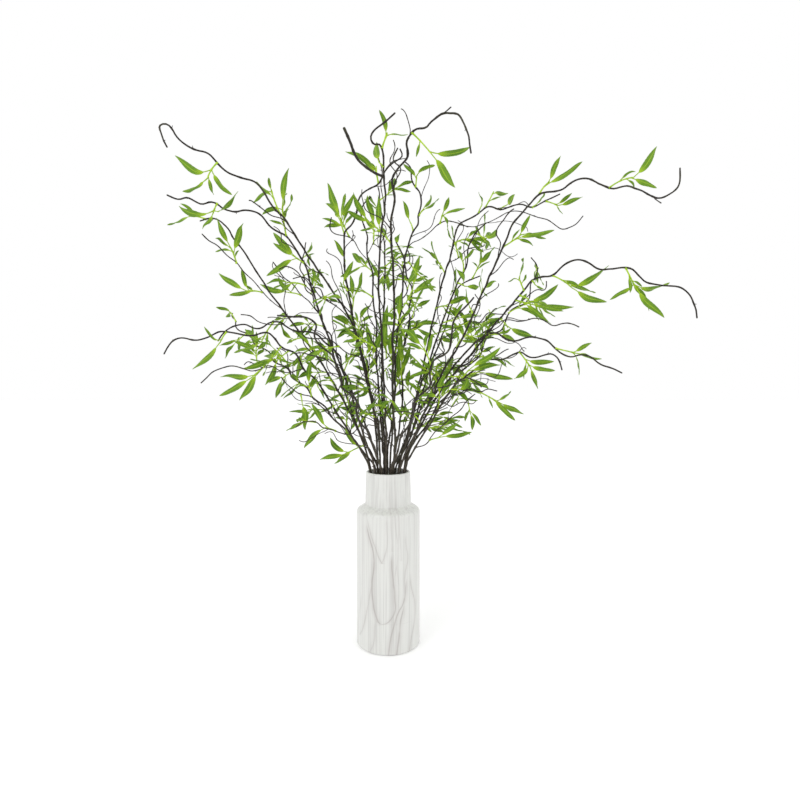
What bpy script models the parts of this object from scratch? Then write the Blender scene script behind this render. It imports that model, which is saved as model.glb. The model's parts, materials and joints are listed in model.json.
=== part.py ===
"""Willow stems in a tall ceramic vase: curly dark stems with side branches and leafy green sprigs.

Metres, +Z up. The origin is the centre of the vase's flat underside, and the front faces -Y.
Each stem stands on the vase's floor and grows up through its mouth. Its branches, sprigs and
leaves are drawn out of its sides, so that every stem is one closed body.
"""

import math
import random

import bmesh
import bpy
import numpy as np

INCH = 0.0254
SEED = 35

# The vase
VASE_HEIGHT = 15 * INCH
VASE_RADIUS = 5.5 * INCH / 2
LIP_RADIUS = 0.0485
NECK_FOOT_RADIUS = 0.0505
NECK_LENGTH = 0.070
SHOULDER_DROP = 0.017
SHOULDER_ROUND = 0.012
WALL = 0.0046
FLOOR = 0.009
BASE_ROUND = 0.004
VASE_SIDES = 36

# Where the stems stand: rings in the mouth, and how far the feet are turned from them
MOUTH_RINGS = ((14, 0.0352), (9, 0.0222), (4, 0.0085))
MOUTH_RISE = 0.006
FOOT_TURN = math.radians(20)
FOOT_GAP = 0.0003

# The viewpoint that the routes below were read from, in a picture 800 pixels wide
VIEW_ACROSS = 0.026
VIEW_BACK = 1.20
VIEW_HEIGHT = 0.59
VIEW_PITCH = math.radians(2.5)
VIEW_FOCAL_PX = 548
PICTURE_MIDDLE_PX = 400

# Growth: steps along a centre line, radii at a shoot's two ends, and ranges that are drawn from
GRAIN = 0.0025
STEM_RADIUS = (0.0028, 0.0011)
BRANCH_TIP_RADIUS = 0.0009
BRANCH_SHARE = 0.65
TWIG_RADIUS = (0.0010, 0.0008)
FORWARD_SHIFTS = (0.0, 0.02, -0.02, 0.04, -0.04, 0.07, -0.07, 0.10, -0.10)
FORWARD_BENDS = (1.0, 1.4, 0.7)
SLIDES = (0, 0.009, -0.009, 0.014, -0.014)
BRANCH_TRIES, SPRIG_TRIES, LEAF_TRIES, SEEN_LEAF_TRIES = 12, 30, 14, 60
THICK_STEM, THICKER = "top_hook", 1.15
STEM_SWAYS = (0.52, 0.44, 0.60, 0.36, 0.50, 0.40, 0.30, 0.25)
STEM_SPREAD, STEM_SAG = 0.55, 0.10
WAVE_LENGTH = (0.065, 0.115)
HOOKED_SHARE, HOOK = 0.18, 1.6
BRANCHES_PER_STEM = 2
BRANCH_LENGTH = (0.10, 0.21)
BRANCH_ANGLE = (33, 50)
BRANCH_SPREAD, BRANCH_SWAY = 0.35, 0.62
BRANCHES_FROM, BRANCHES_TO = 0.16, 0.78
SPRIGS_ADDED = 33
SPRIGS_FROM = 0.05
SPRIG_SPACING = 0.05
MIDDLE_RADIUS, FRONT = 0.22, -0.22
LEAVES_PER_SPRIG = (3, 5)
TWIG_FOOT, PAIR_SPACING, LAST_PAIR = 0.017, 0.012, 0.0060
LEAF_LENGTH = (0.046, 0.062)
LEAF_SHRINK = 0.07
LEAF_SLENDERNESS = 0.205
LEAF_THICKNESS = 0.0013
LEAF_FOOT = 0.16
LEAF_RINGS = ((0.34, 0.92), (0.70, 0.84))
LEAF_DROOP, LEAF_CURL = (0.25, 0.85), 0.35
LEAF_ANGLE, END_LEAF_ANGLE = (30, 50), 8.6
LEAF_LIFT, LEAF_PITCH = (-0.1, 0.35), (-0.3, 0.15)
LEAF_ROLL, END_LEAF_ROLL = (-0.85, -0.15), (-0.35, 0.35)
LEAF_SLANT, LEAF_BEND, LONGEST_LEAF = 0.45, (0.1, 0.8), 0.078
PAIR_LEAN, END_LEAN, CLOSEST_PAIR = (0.3, 0.9), (0.72, 1.1), 0.4
SHORTEST_TWIG, TWIG_FORWARD, STEEPEST_TWIG = 0.010, (-0.012, 0.020), 0.88
CHILD_SPACING = 0.009
ROOM_GAP = 0.0008
TWIG_ROOM = 0.003
ROOT_REACH = {"branch": 0.012, "sprig": 0.012, "leaf": 0.0055}
NEIGHBOURHOOD = 0.012
LEFTMOST, RIGHTMOST, HIGHEST = -0.414, 0.556, 1.014
FURTHEST_BACK, FURTHEST_FRONT = 0.41, -0.40
DOWN = np.array([0.0, 0.0, -1.0])
ODD_DIRECTION = np.array([0.31, 0.17, 0.93])

# How finely the solids follow the centre lines
SIDES = {"stem": 4, "branch": 4, "sprig": 3}
ROOT_LENGTH = {"branch": 0.0040, "sprig": 0.0030, "leaf": 0.0034}
ROOT_CLEARANCE = 0.004
FIRST_RING = 2
STRAIGHTEN = {"stem": 0.0022, "branch": 0.0018, "sprig": 0.0020}
STITCH_BIASES = (0.0, 0.1)

# Stems that the picture shows: how far in front of the axis the tip is, and the route in pixels
SEEN_STEMS = (
    ("left_high", 0.285, (
        (376, 427), (370, 389), (362, 352), (352, 321), (341, 303), (328, 284), (314, 264),
        (301, 245), (292, 231), (284, 217), (271, 206), (262, 188), (254, 181), (240, 178),
        (226, 172), (217, 162), (208, 152), (195, 150), (183, 144), (177, 137), (173, 129),
        (167, 123), (160, 124), (160, 131), (163, 139), (167, 147))),
    ("left_middle", 0.235, (
        (360, 436), (346, 396), (338, 372), (331, 345), (324, 325), (316, 303), (311, 286),
        (307, 268), (297, 251), (287, 235), (276, 232), (267, 223), (259, 213), (245, 209),
        (234, 213), (225, 210), (217, 203), (210, 201), (202, 205), (195, 201), (187, 197),
        (178, 200), (167, 195))),
    ("left_low", 0.12, (
        (357, 426), (341, 396), (330, 377), (317, 356), (303, 338), (292, 322), (282, 309),
        (265, 285), (251, 263), (238, 244), (231, 236), (228, 227), (221, 221), (212, 218),
        (200, 221))),
    ("left_droop", 0.20, (
        (354, 440), (335, 410), (317, 381), (309, 374), (303, 369), (300, 359), (293, 352),
        (282, 348), (274, 338), (267, 331), (252, 336), (239, 334), (222, 331), (214, 334),
        (206, 338), (195, 341), (182, 337), (174, 340), (168, 346), (164, 354))),
    ("left_arch", 0.13, (
        (365, 440), (353, 400), (343, 372), (335, 350), (325, 343), (318, 334), (306, 332),
        (294, 331), (286, 326), (281, 322), (271, 322), (261, 329), (252, 327), (242, 324),
        (230, 327), (222, 335), (218, 341))),
    ("right_high", 0.235, (
        (412, 441), (423, 415), (434, 392), (445, 367), (457, 349), (466, 333), (473, 314),
        (481, 295), (490, 276), (506, 240), (511, 225), (519, 216), (528, 207), (536, 196),
        (542, 192), (560, 192), (572, 181), (585, 177), (599, 183), (609, 190), (628, 185),
        (641, 190), (650, 196), (661, 199), (674, 193), (681, 182), (680, 168))),
    ("right_middle", 0.222, (
        (409, 448), (425, 418), (436, 398), (449, 379), (462, 364), (474, 352), (486, 335),
        (494, 325), (504, 314), (515, 300), (525, 290), (531, 280), (541, 277), (553, 277),
        (563, 265), (576, 259), (588, 262), (599, 271), (612, 268), (626, 267), (637, 273),
        (648, 285), (664, 285), (680, 286), (691, 295), (695, 307), (697, 318))),
    ("right_low", 0.17, (
        (412, 454), (431, 422), (445, 399), (452, 388), (462, 378), (477, 370), (484, 360),
        (492, 359), (504, 360), (513, 354), (521, 351), (528, 357), (536, 358), (544, 355),
        (552, 353), (559, 358), (562, 370))),
    ("right_reach", 0.21, (
        (416, 430), (428, 405), (442, 382), (462, 355), (480, 338), (496, 331), (504, 339),
        (516, 342), (527, 336), (538, 338), (547, 340), (555, 348), (562, 354), (571, 357),
        (581, 354), (592, 357), (599, 364), (610, 367), (622, 373))),
    ("right_inner", 0.04, (
        (406, 440), (415, 400), (425, 360), (433, 320), (440, 290), (446, 270), (452, 252),
        (457, 224), (468, 220), (479, 213), (488, 205), (500, 211), (510, 206), (520, 203),
        (532, 209), (544, 202), (560, 194))),
    ("top_hook", 0.35, (
        (396, 440), (392, 400), (393, 366), (392, 340), (394, 322), (394, 302), (394, 276),
        (392, 251), (391, 236), (390, 222), (393, 210), (395, 198), (392, 187), (392, 178),
        (397, 169), (405, 161), (409, 154), (407, 147), (406, 140), (410, 134), (416, 129),
        (427, 129), (430, 122), (437, 117), (446, 112), (455, 113), (463, 120), (468, 132),
        (470, 144), (471, 153))),
    ("top_left", 0.18, (
        (380, 440), (369, 390), (358, 340), (350, 300), (344, 270), (344, 239), (345, 231),
        (354, 223), (357, 209), (358, 202), (362, 194), (370, 189), (379, 184), (383, 174),
        (387, 167), (395, 161), (403, 156), (400, 149))),
    ("top_curl", 0.34, (
        (386, 430), (384, 380), (381, 330), (378, 280), (381, 230), (386, 200), (383, 176),
        (384, 160), (381, 143), (374, 145), (370, 138), (374, 130), (384, 123), (395, 113))),
    ("top_right", 0.11, (
        (395, 396), (395, 366), (397, 334), (399, 322), (402, 308), (403, 289), (403, 271),
        (405, 257), (409, 243), (413, 231), (418, 224),
        (419, 214), (422, 202), (420, 192), (415, 187), (411, 180), (411, 168), (404, 161))),
    ("centre_left", 0.10, (
        (379, 396), (378, 379), (376, 366), (377, 328), (375, 315), (373, 302),
        (373, 289), (373, 271), (369, 264), (366, 255), (368, 241), (367, 235), (363, 224),
        (361, 213), (363, 204), (371, 197))),
    ("centre_grey", -0.04, (
        (384, 440), (382, 396), (382, 366), (382, 340), (383, 322), (384, 302), (384, 283),
        (385, 264), (385, 248), (382, 226), (383, 216), (379, 207), (380, 195), (378, 187))),
    ("centre_bent", 0.05, (
        (398, 440), (403, 396), (401, 366), (403, 350), (407, 335), (410, 318), (408, 311),
        (411, 299), (413, 288), (407, 279), (406, 271), (405, 262), (401, 251), (396, 242))),
    ("right_wavy", 0.09, (
        (407, 440), (414, 410), (422, 379), (429, 363), (438, 334), (445, 315), (453, 294),
        (458, 282), (464, 271), (468, 261), (468, 248), (472, 240), (477, 231), (486, 223))),
    ("right_short", 0.0, (
        (411, 440), (420, 400), (429, 370), (435, 353), (442, 338), (447, 322), (450, 311),
        (455, 297), (457, 289), (463, 283), (471, 279), (480, 276))),
)
SEEN_NAMES = {name for name, _, _ in SEEN_STEMS}

# Their branches that the picture shows: the stem, the tip's place in front of the axis, and the route.
SEEN_BRANCHES = (
    ("left_low", 0.16, (
        (282, 309), (263, 294), (256, 283), (243, 272), (236, 262), (225, 255), (218, 245),
        (209, 241), (202, 234))),
    ("left_middle", 0.10, (
        (320, 315), (311, 303), (300, 295), (294, 284), (283, 278), (278, 269), (273, 262))),
    ("left_droop", 0.24, (
        (303, 369), (293, 372), (281, 372), (268, 364), (254, 372), (244, 369), (234, 365),
        (222, 368), (212, 372), (206, 378), (201, 383))),
    ("left_droop", 0.10, (
        (338, 415), (326, 410), (319, 405), (312, 396), (300, 394), (290, 388), (281, 377))),
    ("left_low", 0.16, (
        (358, 428), (350, 436), (336, 431), (323, 428), (316, 421), (304, 421), (296, 427))),
    ("right_inner", 0.10, (
        (457, 224), (470, 227), (485, 224), (498, 218), (510, 211), (522, 211), (532, 215),
        (548, 220), (555, 225), (564, 231), (576, 225), (583, 216))),
    ("right_reach", 0.26, (
        (480, 338), (492, 326), (506, 319), (520, 322), (534, 318), (544, 320), (553, 327),
        (563, 322), (572, 323), (579, 327))),
    ("right_low", 0.06, (
        (445, 399), (460, 393), (468, 389), (480, 393), (487, 389), (497, 391))),
    ("right_low", 0.10, (
        (416, 447), (428, 444), (431, 435), (444, 425), (451, 416), (461, 410), (466, 401),
        (475, 394))),
    ("top_right", 0.10, (
        (405, 257), (410, 243), (420, 240), (430, 233), (439, 223), (450, 220), (458, 223),
        (468, 227))),
    ("top_curl", 0.38, (
        (383, 176), (368, 169), (358, 161), (353, 151), (349, 140), (344, 128))),
    ("top_hook", 0.32, (
        (443, 113), (451, 107))),
    ("right_high", 0.24, (
        (652, 197), (661, 203))),
)

# Leafy sprigs that the picture shows: the stem, the pixels of the twig's foot and end, and the pixels of
# its leaves' tips, from the leaf at the twig's end backwards.
SEEN_SPRIGS = (
    ("left_high", (217, 163), (208, 171), ((182, 191), (169, 155), (214, 195), (212, 144), (232, 195))),
    ("left_middle", (217, 204), (213, 211), ((203, 229), (179, 206), (239, 191))),
    ("left_low", (207, 219), (190, 213), ((160, 205), (167, 225), (151, 213))),
    ("left_low", (237, 262), (232, 246), ((216, 218), (243, 223), (215, 239))),
    ("left_middle", (287, 235), (281, 208), ((290, 168), (287, 193), (262, 215), (292, 194))),
    ("left_high", (280, 214), (263, 192), ((244, 191), (268, 178), (253, 203), (257, 181))),
    ("left_middle", (305, 263), (295, 257), ((273, 243), (263, 222), (266, 275))),
    ("left_middle", (301, 295), (290, 291), ((260, 284), (278, 277))),
    ("left_low", (261, 293), (247, 288), ((218, 272), (229, 295), (241, 268))),
    ("left_droop", (227, 332), (219, 341), ((189, 374), (204, 326), (184, 334))),
    ("left_arch", (273, 322), (259, 340), ((234, 353), (249, 362), (245, 329))),
    ("left_droop", (280, 347), (274, 354), ((250, 359), (294, 363), (264, 356))),
    ("left_droop", (289, 350), (278, 359), ((265, 385), (234, 369), (284, 366))),
    ("left_droop", (264, 366), (252, 376), ((209, 401), (214, 379), (238, 402))),
    ("left_low", (312, 349), (304, 351), ((287, 348), (296, 380), (292, 366))),
    ("left_low", (303, 338), (295, 338), ((279, 331), (287, 344), (281, 321))),
    ("left_droop", (312, 396), (310, 386), ((311, 359), (294, 389))),
    ("left_droop", (300, 394), (303, 402), ((306, 430),)),
    ("left_droop", (316, 380), (319, 386), ((325, 399),)),
    ("left_low", (316, 421), (310, 422), ((286, 431), (297, 419))),
    ("left_low", (336, 431), (328, 427), ((304, 448), (311, 404))),
    ("left_low", (361, 446), (346, 452), ((320, 460), (330, 438), (334, 463), (345, 428))),
    ("left_droop", (335, 411), (333, 404), ((333, 384),)),
    ("left_middle", (349, 405), (347, 398), ((348, 374),)),
    ("right_high", (540, 193), (547, 179), ((567, 134), (561, 156), (584, 161))),
    ("right_high", (608, 189), (630, 171), ((659, 145), (677, 170), (657, 188))),
    ("right_inner", (546, 202), (558, 204), ((583, 198), (572, 193), (563, 214))),
    ("right_inner", (532, 209), (536, 204), ((545, 193),)),
    ("right_high", (503, 247), (522, 236), ((546, 238), (530, 215), (554, 229))),
    ("right_inner", (485, 207), (494, 192), ((496, 166), (508, 193))),
    ("right_inner", (500, 211), (505, 204), ((515, 195),)),
    ("right_inner", (479, 213), (481, 205), ((479, 192),)),
    ("right_wavy", (476, 233), (481, 236), ((497, 229), (486, 249))),
    ("right_short", (472, 279), (479, 266), ((495, 247), (484, 249), (472, 262))),
    ("right_wavy", (463, 272), (464, 265), ((475, 249), (457, 250))),
    ("right_wavy", (458, 283), (464, 285), ((480, 285), (455, 266))),
    ("right_high", (473, 314), (470, 308), ((466, 289),)),
    ("right_middle", (524, 291), (519, 279), ((524, 257), (508, 282))),
    ("right_middle", (532, 280), (535, 284), ((544, 289),)),
    ("right_middle", (554, 277), (575, 284), ((625, 311), (612, 265), (605, 296))),
    ("right_middle", (625, 268), (635, 287), ((669, 326), (672, 283), (610, 300), (650, 316))),
    ("right_low", (520, 352), (530, 365), ((538, 389), (555, 371), (514, 379), (554, 362))),
    ("right_reach", (555, 348), (575, 353), ((602, 358), (592, 343), (579, 375), (597, 374))),
    ("right_low", (480, 393), (499, 402), ((524, 414), (511, 391), (515, 421))),
    ("right_low", (430, 441), (440, 437), ((472, 432), (460, 420))),
    ("right_high", (470, 321), (465, 323), ((441, 329),)),
    ("right_reach", (489, 334), (496, 334), ((516, 341), (511, 328))),
    ("right_middle", (499, 318), (510, 325), ((541, 314), (541, 341))),
    ("right_middle", (515, 300), (536, 305), ((575, 307), (558, 284), (563, 312), (557, 327))),
    ("right_middle", (520, 295), (528, 298), ((545, 281), (538, 313))),
    ("right_high", (464, 336), (471, 335), ((489, 333), (484, 325))),
    ("right_low", (462, 378), (471, 369), ((501, 345), (501, 366))),
    ("right_low", (470, 373), (479, 372), ((513, 379),)),
    ("right_low", (452, 390), (458, 389), ((468, 376),)),
    ("top_left", (344, 234), (339, 220), ((326, 179), (345, 193), (325, 204))),
    ("top_hook", (392, 244), (371, 218), ((354, 192), (347, 211), (368, 195), (378, 195), (360, 230))),
    ("top_curl", (382, 148), (387, 133), ((405, 98), (379, 110), (408, 135))),
    ("top_curl", (383, 168), (380, 162), ((377, 142),)),
    ("top_left", (379, 183), (374, 166), ((348, 126), (345, 152), (357, 154))),
    ("top_hook", (412, 133), (433, 152), ((465, 198), (470, 147), (463, 182), (416, 157))),
    ("top_right", (416, 187), (417, 177), ((434, 165), (404, 163))),
    ("top_right", (419, 216), (422, 210), ((431, 194), (439, 198))),
    ("top_right", (413, 231), (411, 221), ((402, 201),)),
    ("top_right", (440, 223), (442, 216), ((449, 197), (465, 208), (448, 230))),
    ("top_right", (402, 309), (414, 291), ((420, 255), (441, 272), (436, 287), (427, 271))),
    ("top_left", (344, 266), (345, 260), ((334, 240),)),
    ("top_left", (348, 291), (344, 284), ((353, 261),)),
    ("top_left", (352, 310), (355, 297), ((350, 275), (362, 272), (345, 290))),
    ("centre_grey", (384, 290), (384, 282), ((366, 256), (392, 262))),
    ("top_hook", (393, 366), (391, 352), ((387, 318), (395, 330), (380, 340))),
    ("centre_bent", (402, 380), (400, 366), ((402, 330), (410, 345), (392, 352))),
    ("top_right", (395, 390), (398, 382), ((398, 352), (388, 368))),
    ("right_wavy", (416, 402), (424, 397), ((450, 377), (440, 402))),
    ("centre_grey", (383, 350), (384, 338), ((388, 305), (376, 318))),
    ("centre_left", (376, 366), (372, 356), ((366, 325), (380, 330))),
)

# Stems that the picture hides in part or in full: azimuth and lean in degrees, and length
HIDDEN_STEMS = (
    (18, 33, 0.66), (52, 40, 0.66), (78, 20, 0.63), (108, 37, 0.61), (138, 26, 0.66), (165, 40, 0.57),
    (248, 38, 0.50), (290, 42, 0.50),
)


def even(points, step=GRAIN):
    """Evenly spaced points along a polyline."""
    points = np.asarray(points, float)
    along = np.concatenate([[0], np.cumsum(np.linalg.norm(np.diff(points, axis=0), axis=1))])
    wanted = np.linspace(0, along[-1], max(3, round(along[-1] / step) + 1))
    return np.stack([np.interp(wanted, along, points[:, k]) for k in range(3)], axis=1)


def rounded(points, times=3):
    """The polyline with its corners cut again and again, which keeps its two ends."""
    points = np.asarray(points, float)
    for _ in range(times):
        near = 0.75 * points[:-1] + 0.25 * points[1:]
        far = 0.25 * points[:-1] + 0.75 * points[1:]
        middle = np.stack([near, far], axis=1).reshape(-1, 3)
        points = np.concatenate([points[:1], middle, points[-1:]])
    return points


def unit(vector):
    return vector / np.linalg.norm(vector)


def seen_at(pixel, forward):
    """The real place of a pixel of the picture that lies `forward` in front of the vase's axis."""
    across = (pixel[0] - PICTURE_MIDDLE_PX) / VIEW_FOCAL_PX
    up = (PICTURE_MIDDLE_PX - pixel[1]) / VIEW_FOCAL_PX
    ray = np.array([across,
                    math.cos(VIEW_PITCH) + up * math.sin(VIEW_PITCH),
                    up * math.cos(VIEW_PITCH) - math.sin(VIEW_PITCH)])
    eye = np.array([VIEW_ACROSS, -VIEW_BACK, VIEW_HEIGHT])
    return eye + ray * (VIEW_BACK - forward) / ray[1]


def seen_route(pixels, start_forward, tip_forward, bend=1.0):
    """Real places along a route in the picture that comes forward from its start to its tip."""
    pixels = np.asarray(pixels, float)
    along = np.concatenate([[0], np.cumsum(np.linalg.norm(np.diff(pixels, axis=0), axis=1))])
    share = (along / along[-1]) ** bend
    return np.array([seen_at(p, start_forward + (tip_forward - start_forward) * s)
                     for p, s in zip(pixels, share)])


def walk(start, heading, length, pull, sway, rng):
    """A curly centre line that sets off along heading, drifts towards pull and hooks over at its tip."""
    aside = unit(np.cross(heading, ODD_DIRECTION))
    above = np.cross(aside, heading)
    waves = [(rng.uniform(*WAVE_LENGTH), rng.uniform(0, 2 * math.pi)) for _ in range(2)]
    turn = rng.uniform(0, 2 * math.pi)
    hook_to = math.cos(turn) * aside + math.sin(turn) * above
    steps = max(4, round(length / GRAIN))
    points = [np.asarray(start, float)]
    for k in range(steps):
        share = (k + 1) / steps
        along = share * length
        swing = [math.sin(2 * math.pi * along / wave + phase) for wave, phase in waves]
        grown = sway * min(1.0, 1.6 * share)
        curl = HOOK * max(0.0, share - 1 + HOOKED_SHARE) / HOOKED_SHARE
        way = heading + pull * share + grown * (swing[0] * aside + swing[1] * above) + curl * hook_to
        points.append(points[-1] + unit(way) * GRAIN)
    return np.array(points)


class Room:
    """The space that is taken already, as balls along everything that has grown so far."""

    def __init__(self):
        self.places = np.empty((0, 3))
        self.radii = np.empty(0)
        self.owners = np.empty(0, int)

    def take(self, line, radii, owner):
        self.places = np.concatenate([self.places, line])
        self.radii = np.concatenate([self.radii, radii])
        self.owners = np.concatenate([self.owners, np.full(len(line), owner)])

    def clear(self, line, radii, parent=-1, root=0.0):
        """Whether a line is inside the outline and clear of all but its parent near its start."""
        if (line[:, 0].min() < LEFTMOST or line[:, 0].max() > RIGHTMOST or line[:, 2].max() > HIGHEST
                or line[:, 1].min() < FURTHEST_FRONT or line[:, 1].max() > FURTHEST_BACK):
            return False
        reach = radii.max() + NEIGHBOURHOOD
        low, high = line.min(axis=0) - reach, line.max(axis=0) + reach
        near = ((self.places > low) & (self.places < high)).all(axis=1)
        if not near.any():
            return True
        gaps = np.linalg.norm(line[:, None] - self.places[near][None], axis=2)
        gaps -= radii[:, None] + self.radii[near][None]
        young = np.linalg.norm(line - line[0], axis=1) < root
        gaps[np.ix_(young, self.owners[near] == parent)] = 1.0
        return gaps.min() > ROOM_GAP


class Leaf:
    """A narrow pointed blade: its centre line, the direction of its width, and its widest width."""

    kind = "leaf"

    def __init__(self, line, side, width):
        self.line, self.side, self.width = line, side, width

    def radii(self):
        """Half the width along the length: a slim foot, a full middle and a long point."""
        shares, fullness = zip((0.0, LEAF_FOOT), *LEAF_RINGS, (1.0, 0.0))
        return self.width / 2 * np.interp(np.linspace(0, 1, len(self.line)), shares, fullness)

    def foot_way(self):
        """The direction of the leaf's slim foot, up to its first full ring."""
        return unit(self.line[round(LEAF_RINGS[0][0] * (len(self.line) - 1))] - self.line[0])


class Shoot:
    """A stem, branch or sprig: a tapering centre line, and what grows from it at a distance along it.
    A sprig's normal is the way that its leaves face."""

    def __init__(self, kind, line, taper, number):
        self.kind, self.line, self.taper, self.number = kind, line, taper, number
        self.length = GRAIN * (len(line) - 1)
        self.children = []
        self.end_leaf = None
        self.normal = ODD_DIRECTION[::-1]

    def radius(self, along):
        return self.taper[0] + (self.taper[1] - self.taper[0]) * along / self.length

    def radii(self):
        return np.array([self.radius(GRAIN * k) for k in range(len(self.line))])

    def at(self, along):
        """The centre line's place and direction at a distance along it."""
        k = int(min(max(round(along / GRAIN), 1), len(self.line) - 2))
        return self.line[k], unit(self.line[k + 1] - self.line[k - 1])

    def spare(self, along):
        """Whether nothing grows near this place yet."""
        inside = CHILD_SPACING / 2 < along < self.length - CHILD_SPACING
        return inside and all(abs(along - other) > CHILD_SPACING for other, _ in self.children)


class Willow:
    """Grows the stems one after another, each clear of all that has grown before it."""

    def __init__(self):
        self.rng = random.Random(SEED)
        self.room = Room()
        self.stems = {}
        self.count = 0

    def new_shoot(self, kind, line, taper):
        line = even(line)
        shoot = Shoot(kind, line, taper, self.count)
        self.count += 1
        self.room.take(shoot.line, shoot.radii(), shoot.number)
        return shoot

    def add_branch(self, parent, along, line):
        """A branch along a line, if it is clear of all the rest."""
        start = BRANCH_SHARE * parent.radius(along)
        if not self.room.clear(line, np.full(len(line), start), parent.number, ROOT_REACH["branch"]):
            return False
        branch = self.new_shoot("branch", line, (start, BRANCH_TIP_RADIUS))
        parent.children.append((along, branch))
        return True

    def plan(self):
        """Every stem's name, a point that it leans towards, and what its line is drawn from."""
        plans = []
        for name, forward, pixels in SEEN_STEMS:
            route = seen_route(pixels, 0.0, forward)
            plans.append((name, route[len(route) // 3], (pixels, forward)))
        for k, (azimuth, lean, length) in enumerate(HIDDEN_STEMS):
            around, tilt = math.radians(azimuth), math.radians(lean)
            outward = np.array([math.cos(around), math.sin(around), 0.0])
            heading = math.sin(tilt) * outward - math.cos(tilt) * DOWN
            plans.append((f"hidden_{k + 1}", heading - VASE_HEIGHT * DOWN, (heading, length)))
        return plans

    def places_in_mouth(self, plans):
        """A place in the mouth for every stem: those that lean most stand furthest out on their side."""
        def lean(plan):
            return math.hypot(plan[1][0], plan[1][1]) / (plan[1][2] - VASE_HEIGHT)

        def azimuth(plan):
            return math.atan2(plan[1][1], plan[1][0])

        waiting = sorted(plans, key=lean, reverse=True)
        places = {}
        for count, radius in MOUTH_RINGS:
            ring, waiting = sorted(waiting[:count], key=azimuth), waiting[count:]
            spread = [azimuth(p) - 2 * math.pi * k / len(ring) for k, p in enumerate(ring)]
            turn = math.atan2(sum(map(math.sin, spread)), sum(map(math.cos, spread)))
            for k, plan in enumerate(ring):
                around = turn + 2 * math.pi * k / len(ring)
                places[plan[0]] = (radius, around)
        return places

    def stem_lines(self, plan, place):
        """Centre lines to try for one stem, best first."""
        radius, around = place
        foot_around = around + FOOT_TURN
        foot = [radius * math.cos(foot_around), radius * math.sin(foot_around), FLOOR + FOOT_GAP]
        mouth = [radius * math.cos(around), radius * math.sin(around), VASE_HEIGHT + MOUTH_RISE]
        inside = [np.array(foot), np.array(foot) * 0.3 + np.array(mouth) * 0.7, np.array(mouth)]
        name, _, (first, second) = plan
        if name.startswith("hidden"):
            for sway in STEM_SWAYS:
                pull = np.array([first[0], first[1], 0.0]) * STEM_SPREAD + DOWN * STEM_SAG
                yield np.concatenate([even(inside), walk(mouth, first, second, pull, sway, self.rng)[1:]])
        else:
            for shift in FORWARD_SHIFTS:
                for bend in FORWARD_BENDS:
                    route = seen_route(first, -mouth[1], second + shift, bend)
                    yield rounded([*inside, *route])

    def grow_stems(self):
        plans = self.plan()
        places = self.places_in_mouth(plans)
        for plan in plans:
            radius = STEM_RADIUS[0] * (THICKER if plan[0] == THICK_STEM else 1.0)
            for line in self.stem_lines(plan, places[plan[0]]):
                line = even(line)
                if self.room.clear(line, np.full(len(line), radius)):
                    self.stems[plan[0]] = self.new_shoot("stem", line, (radius, STEM_RADIUS[1]))
                    break

    def shoots_of(self, stem):
        """A stem and its branches."""
        return [stem, *[child for _, child in stem.children if child.kind == "branch"]]

    def nearest(self, stem, pixel):
        """The shoot of a stem that passes nearest a pixel, and how far along it that is."""
        eye = np.array([VIEW_ACROSS, -VIEW_BACK, VIEW_HEIGHT])
        ray = unit(seen_at(pixel, 0.0) - eye)
        best = None
        for shoot in self.shoots_of(stem):
            away = np.linalg.norm(np.cross(shoot.line - eye, ray), axis=1)
            k = int(away.argmin())
            if best is None or away[k] < best[0]:
                best = (away[k], shoot, k * GRAIN)
        return best[1], best[2]

    def grow_seen_branches(self):
        for name, forward, pixels in SEEN_BRANCHES:
            stem = self.stems[name]
            shoot, along = self.nearest(stem, pixels[0])
            for slide in SLIDES:
                if shoot.spare(along + slide):
                    along += slide
                    break
            start, _ = shoot.at(along)
            for shift in FORWARD_SHIFTS:
                route = seen_route(pixels, -start[1], forward + shift)
                if self.add_branch(shoot, along, even(rounded([start, *route[1:]]))):
                    break

    def grow_other_branches(self):
        """Side branches on every stem until it has enough, spaced out above the mouth."""
        for stem in self.stems.values():
            above_mouth = stem.length - VASE_HEIGHT
            reach = BRANCHES_TO - BRANCHES_FROM
            missing = BRANCHES_PER_STEM - sum(child.kind == "branch" for _, child in stem.children)
            for k in range(missing):
                for _ in range(BRANCH_TRIES):
                    share = BRANCHES_FROM + reach * (k + self.rng.random()) / missing
                    along = VASE_HEIGHT + share * above_mouth
                    if not stem.spare(along):
                        continue
                    start, way = stem.at(along)
                    outward = unit(np.array([start[0], start[1], 0.0]) + 1e-6)
                    aside = np.array([self.rng.gauss(0, 1) for _ in range(3)]) + outward * 0.6
                    aside = unit(aside - way * (aside @ way))
                    angle = math.radians(self.rng.uniform(*BRANCH_ANGLE))
                    heading = way * math.cos(angle) + aside * math.sin(angle)
                    length = self.rng.uniform(*BRANCH_LENGTH) * (1.15 - 0.5 * share)
                    pull = outward * BRANCH_SPREAD
                    line = walk(start, heading, length, pull, BRANCH_SWAY, self.rng)
                    if self.add_branch(stem, along, even(line)):
                        break

    def leaf(self, start, way, normal, length):
        """A blade that sets off along `way`, faces `normal` and arches over."""
        steps = round(length / GRAIN)
        droop = self.rng.uniform(*LEAF_DROOP)
        curl = self.rng.uniform(-LEAF_CURL, LEAF_CURL)
        across = unit(np.cross(normal, way))
        points = [start]
        for k in range(steps):
            share = (k + 1) / steps
            points.append(points[-1] + unit(way + droop * share * DOWN + curl * share * across) * GRAIN)
        return Leaf(np.array(points), across, length * LEAF_SLENDERNESS * self.rng.uniform(0.88, 1.1))

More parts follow.
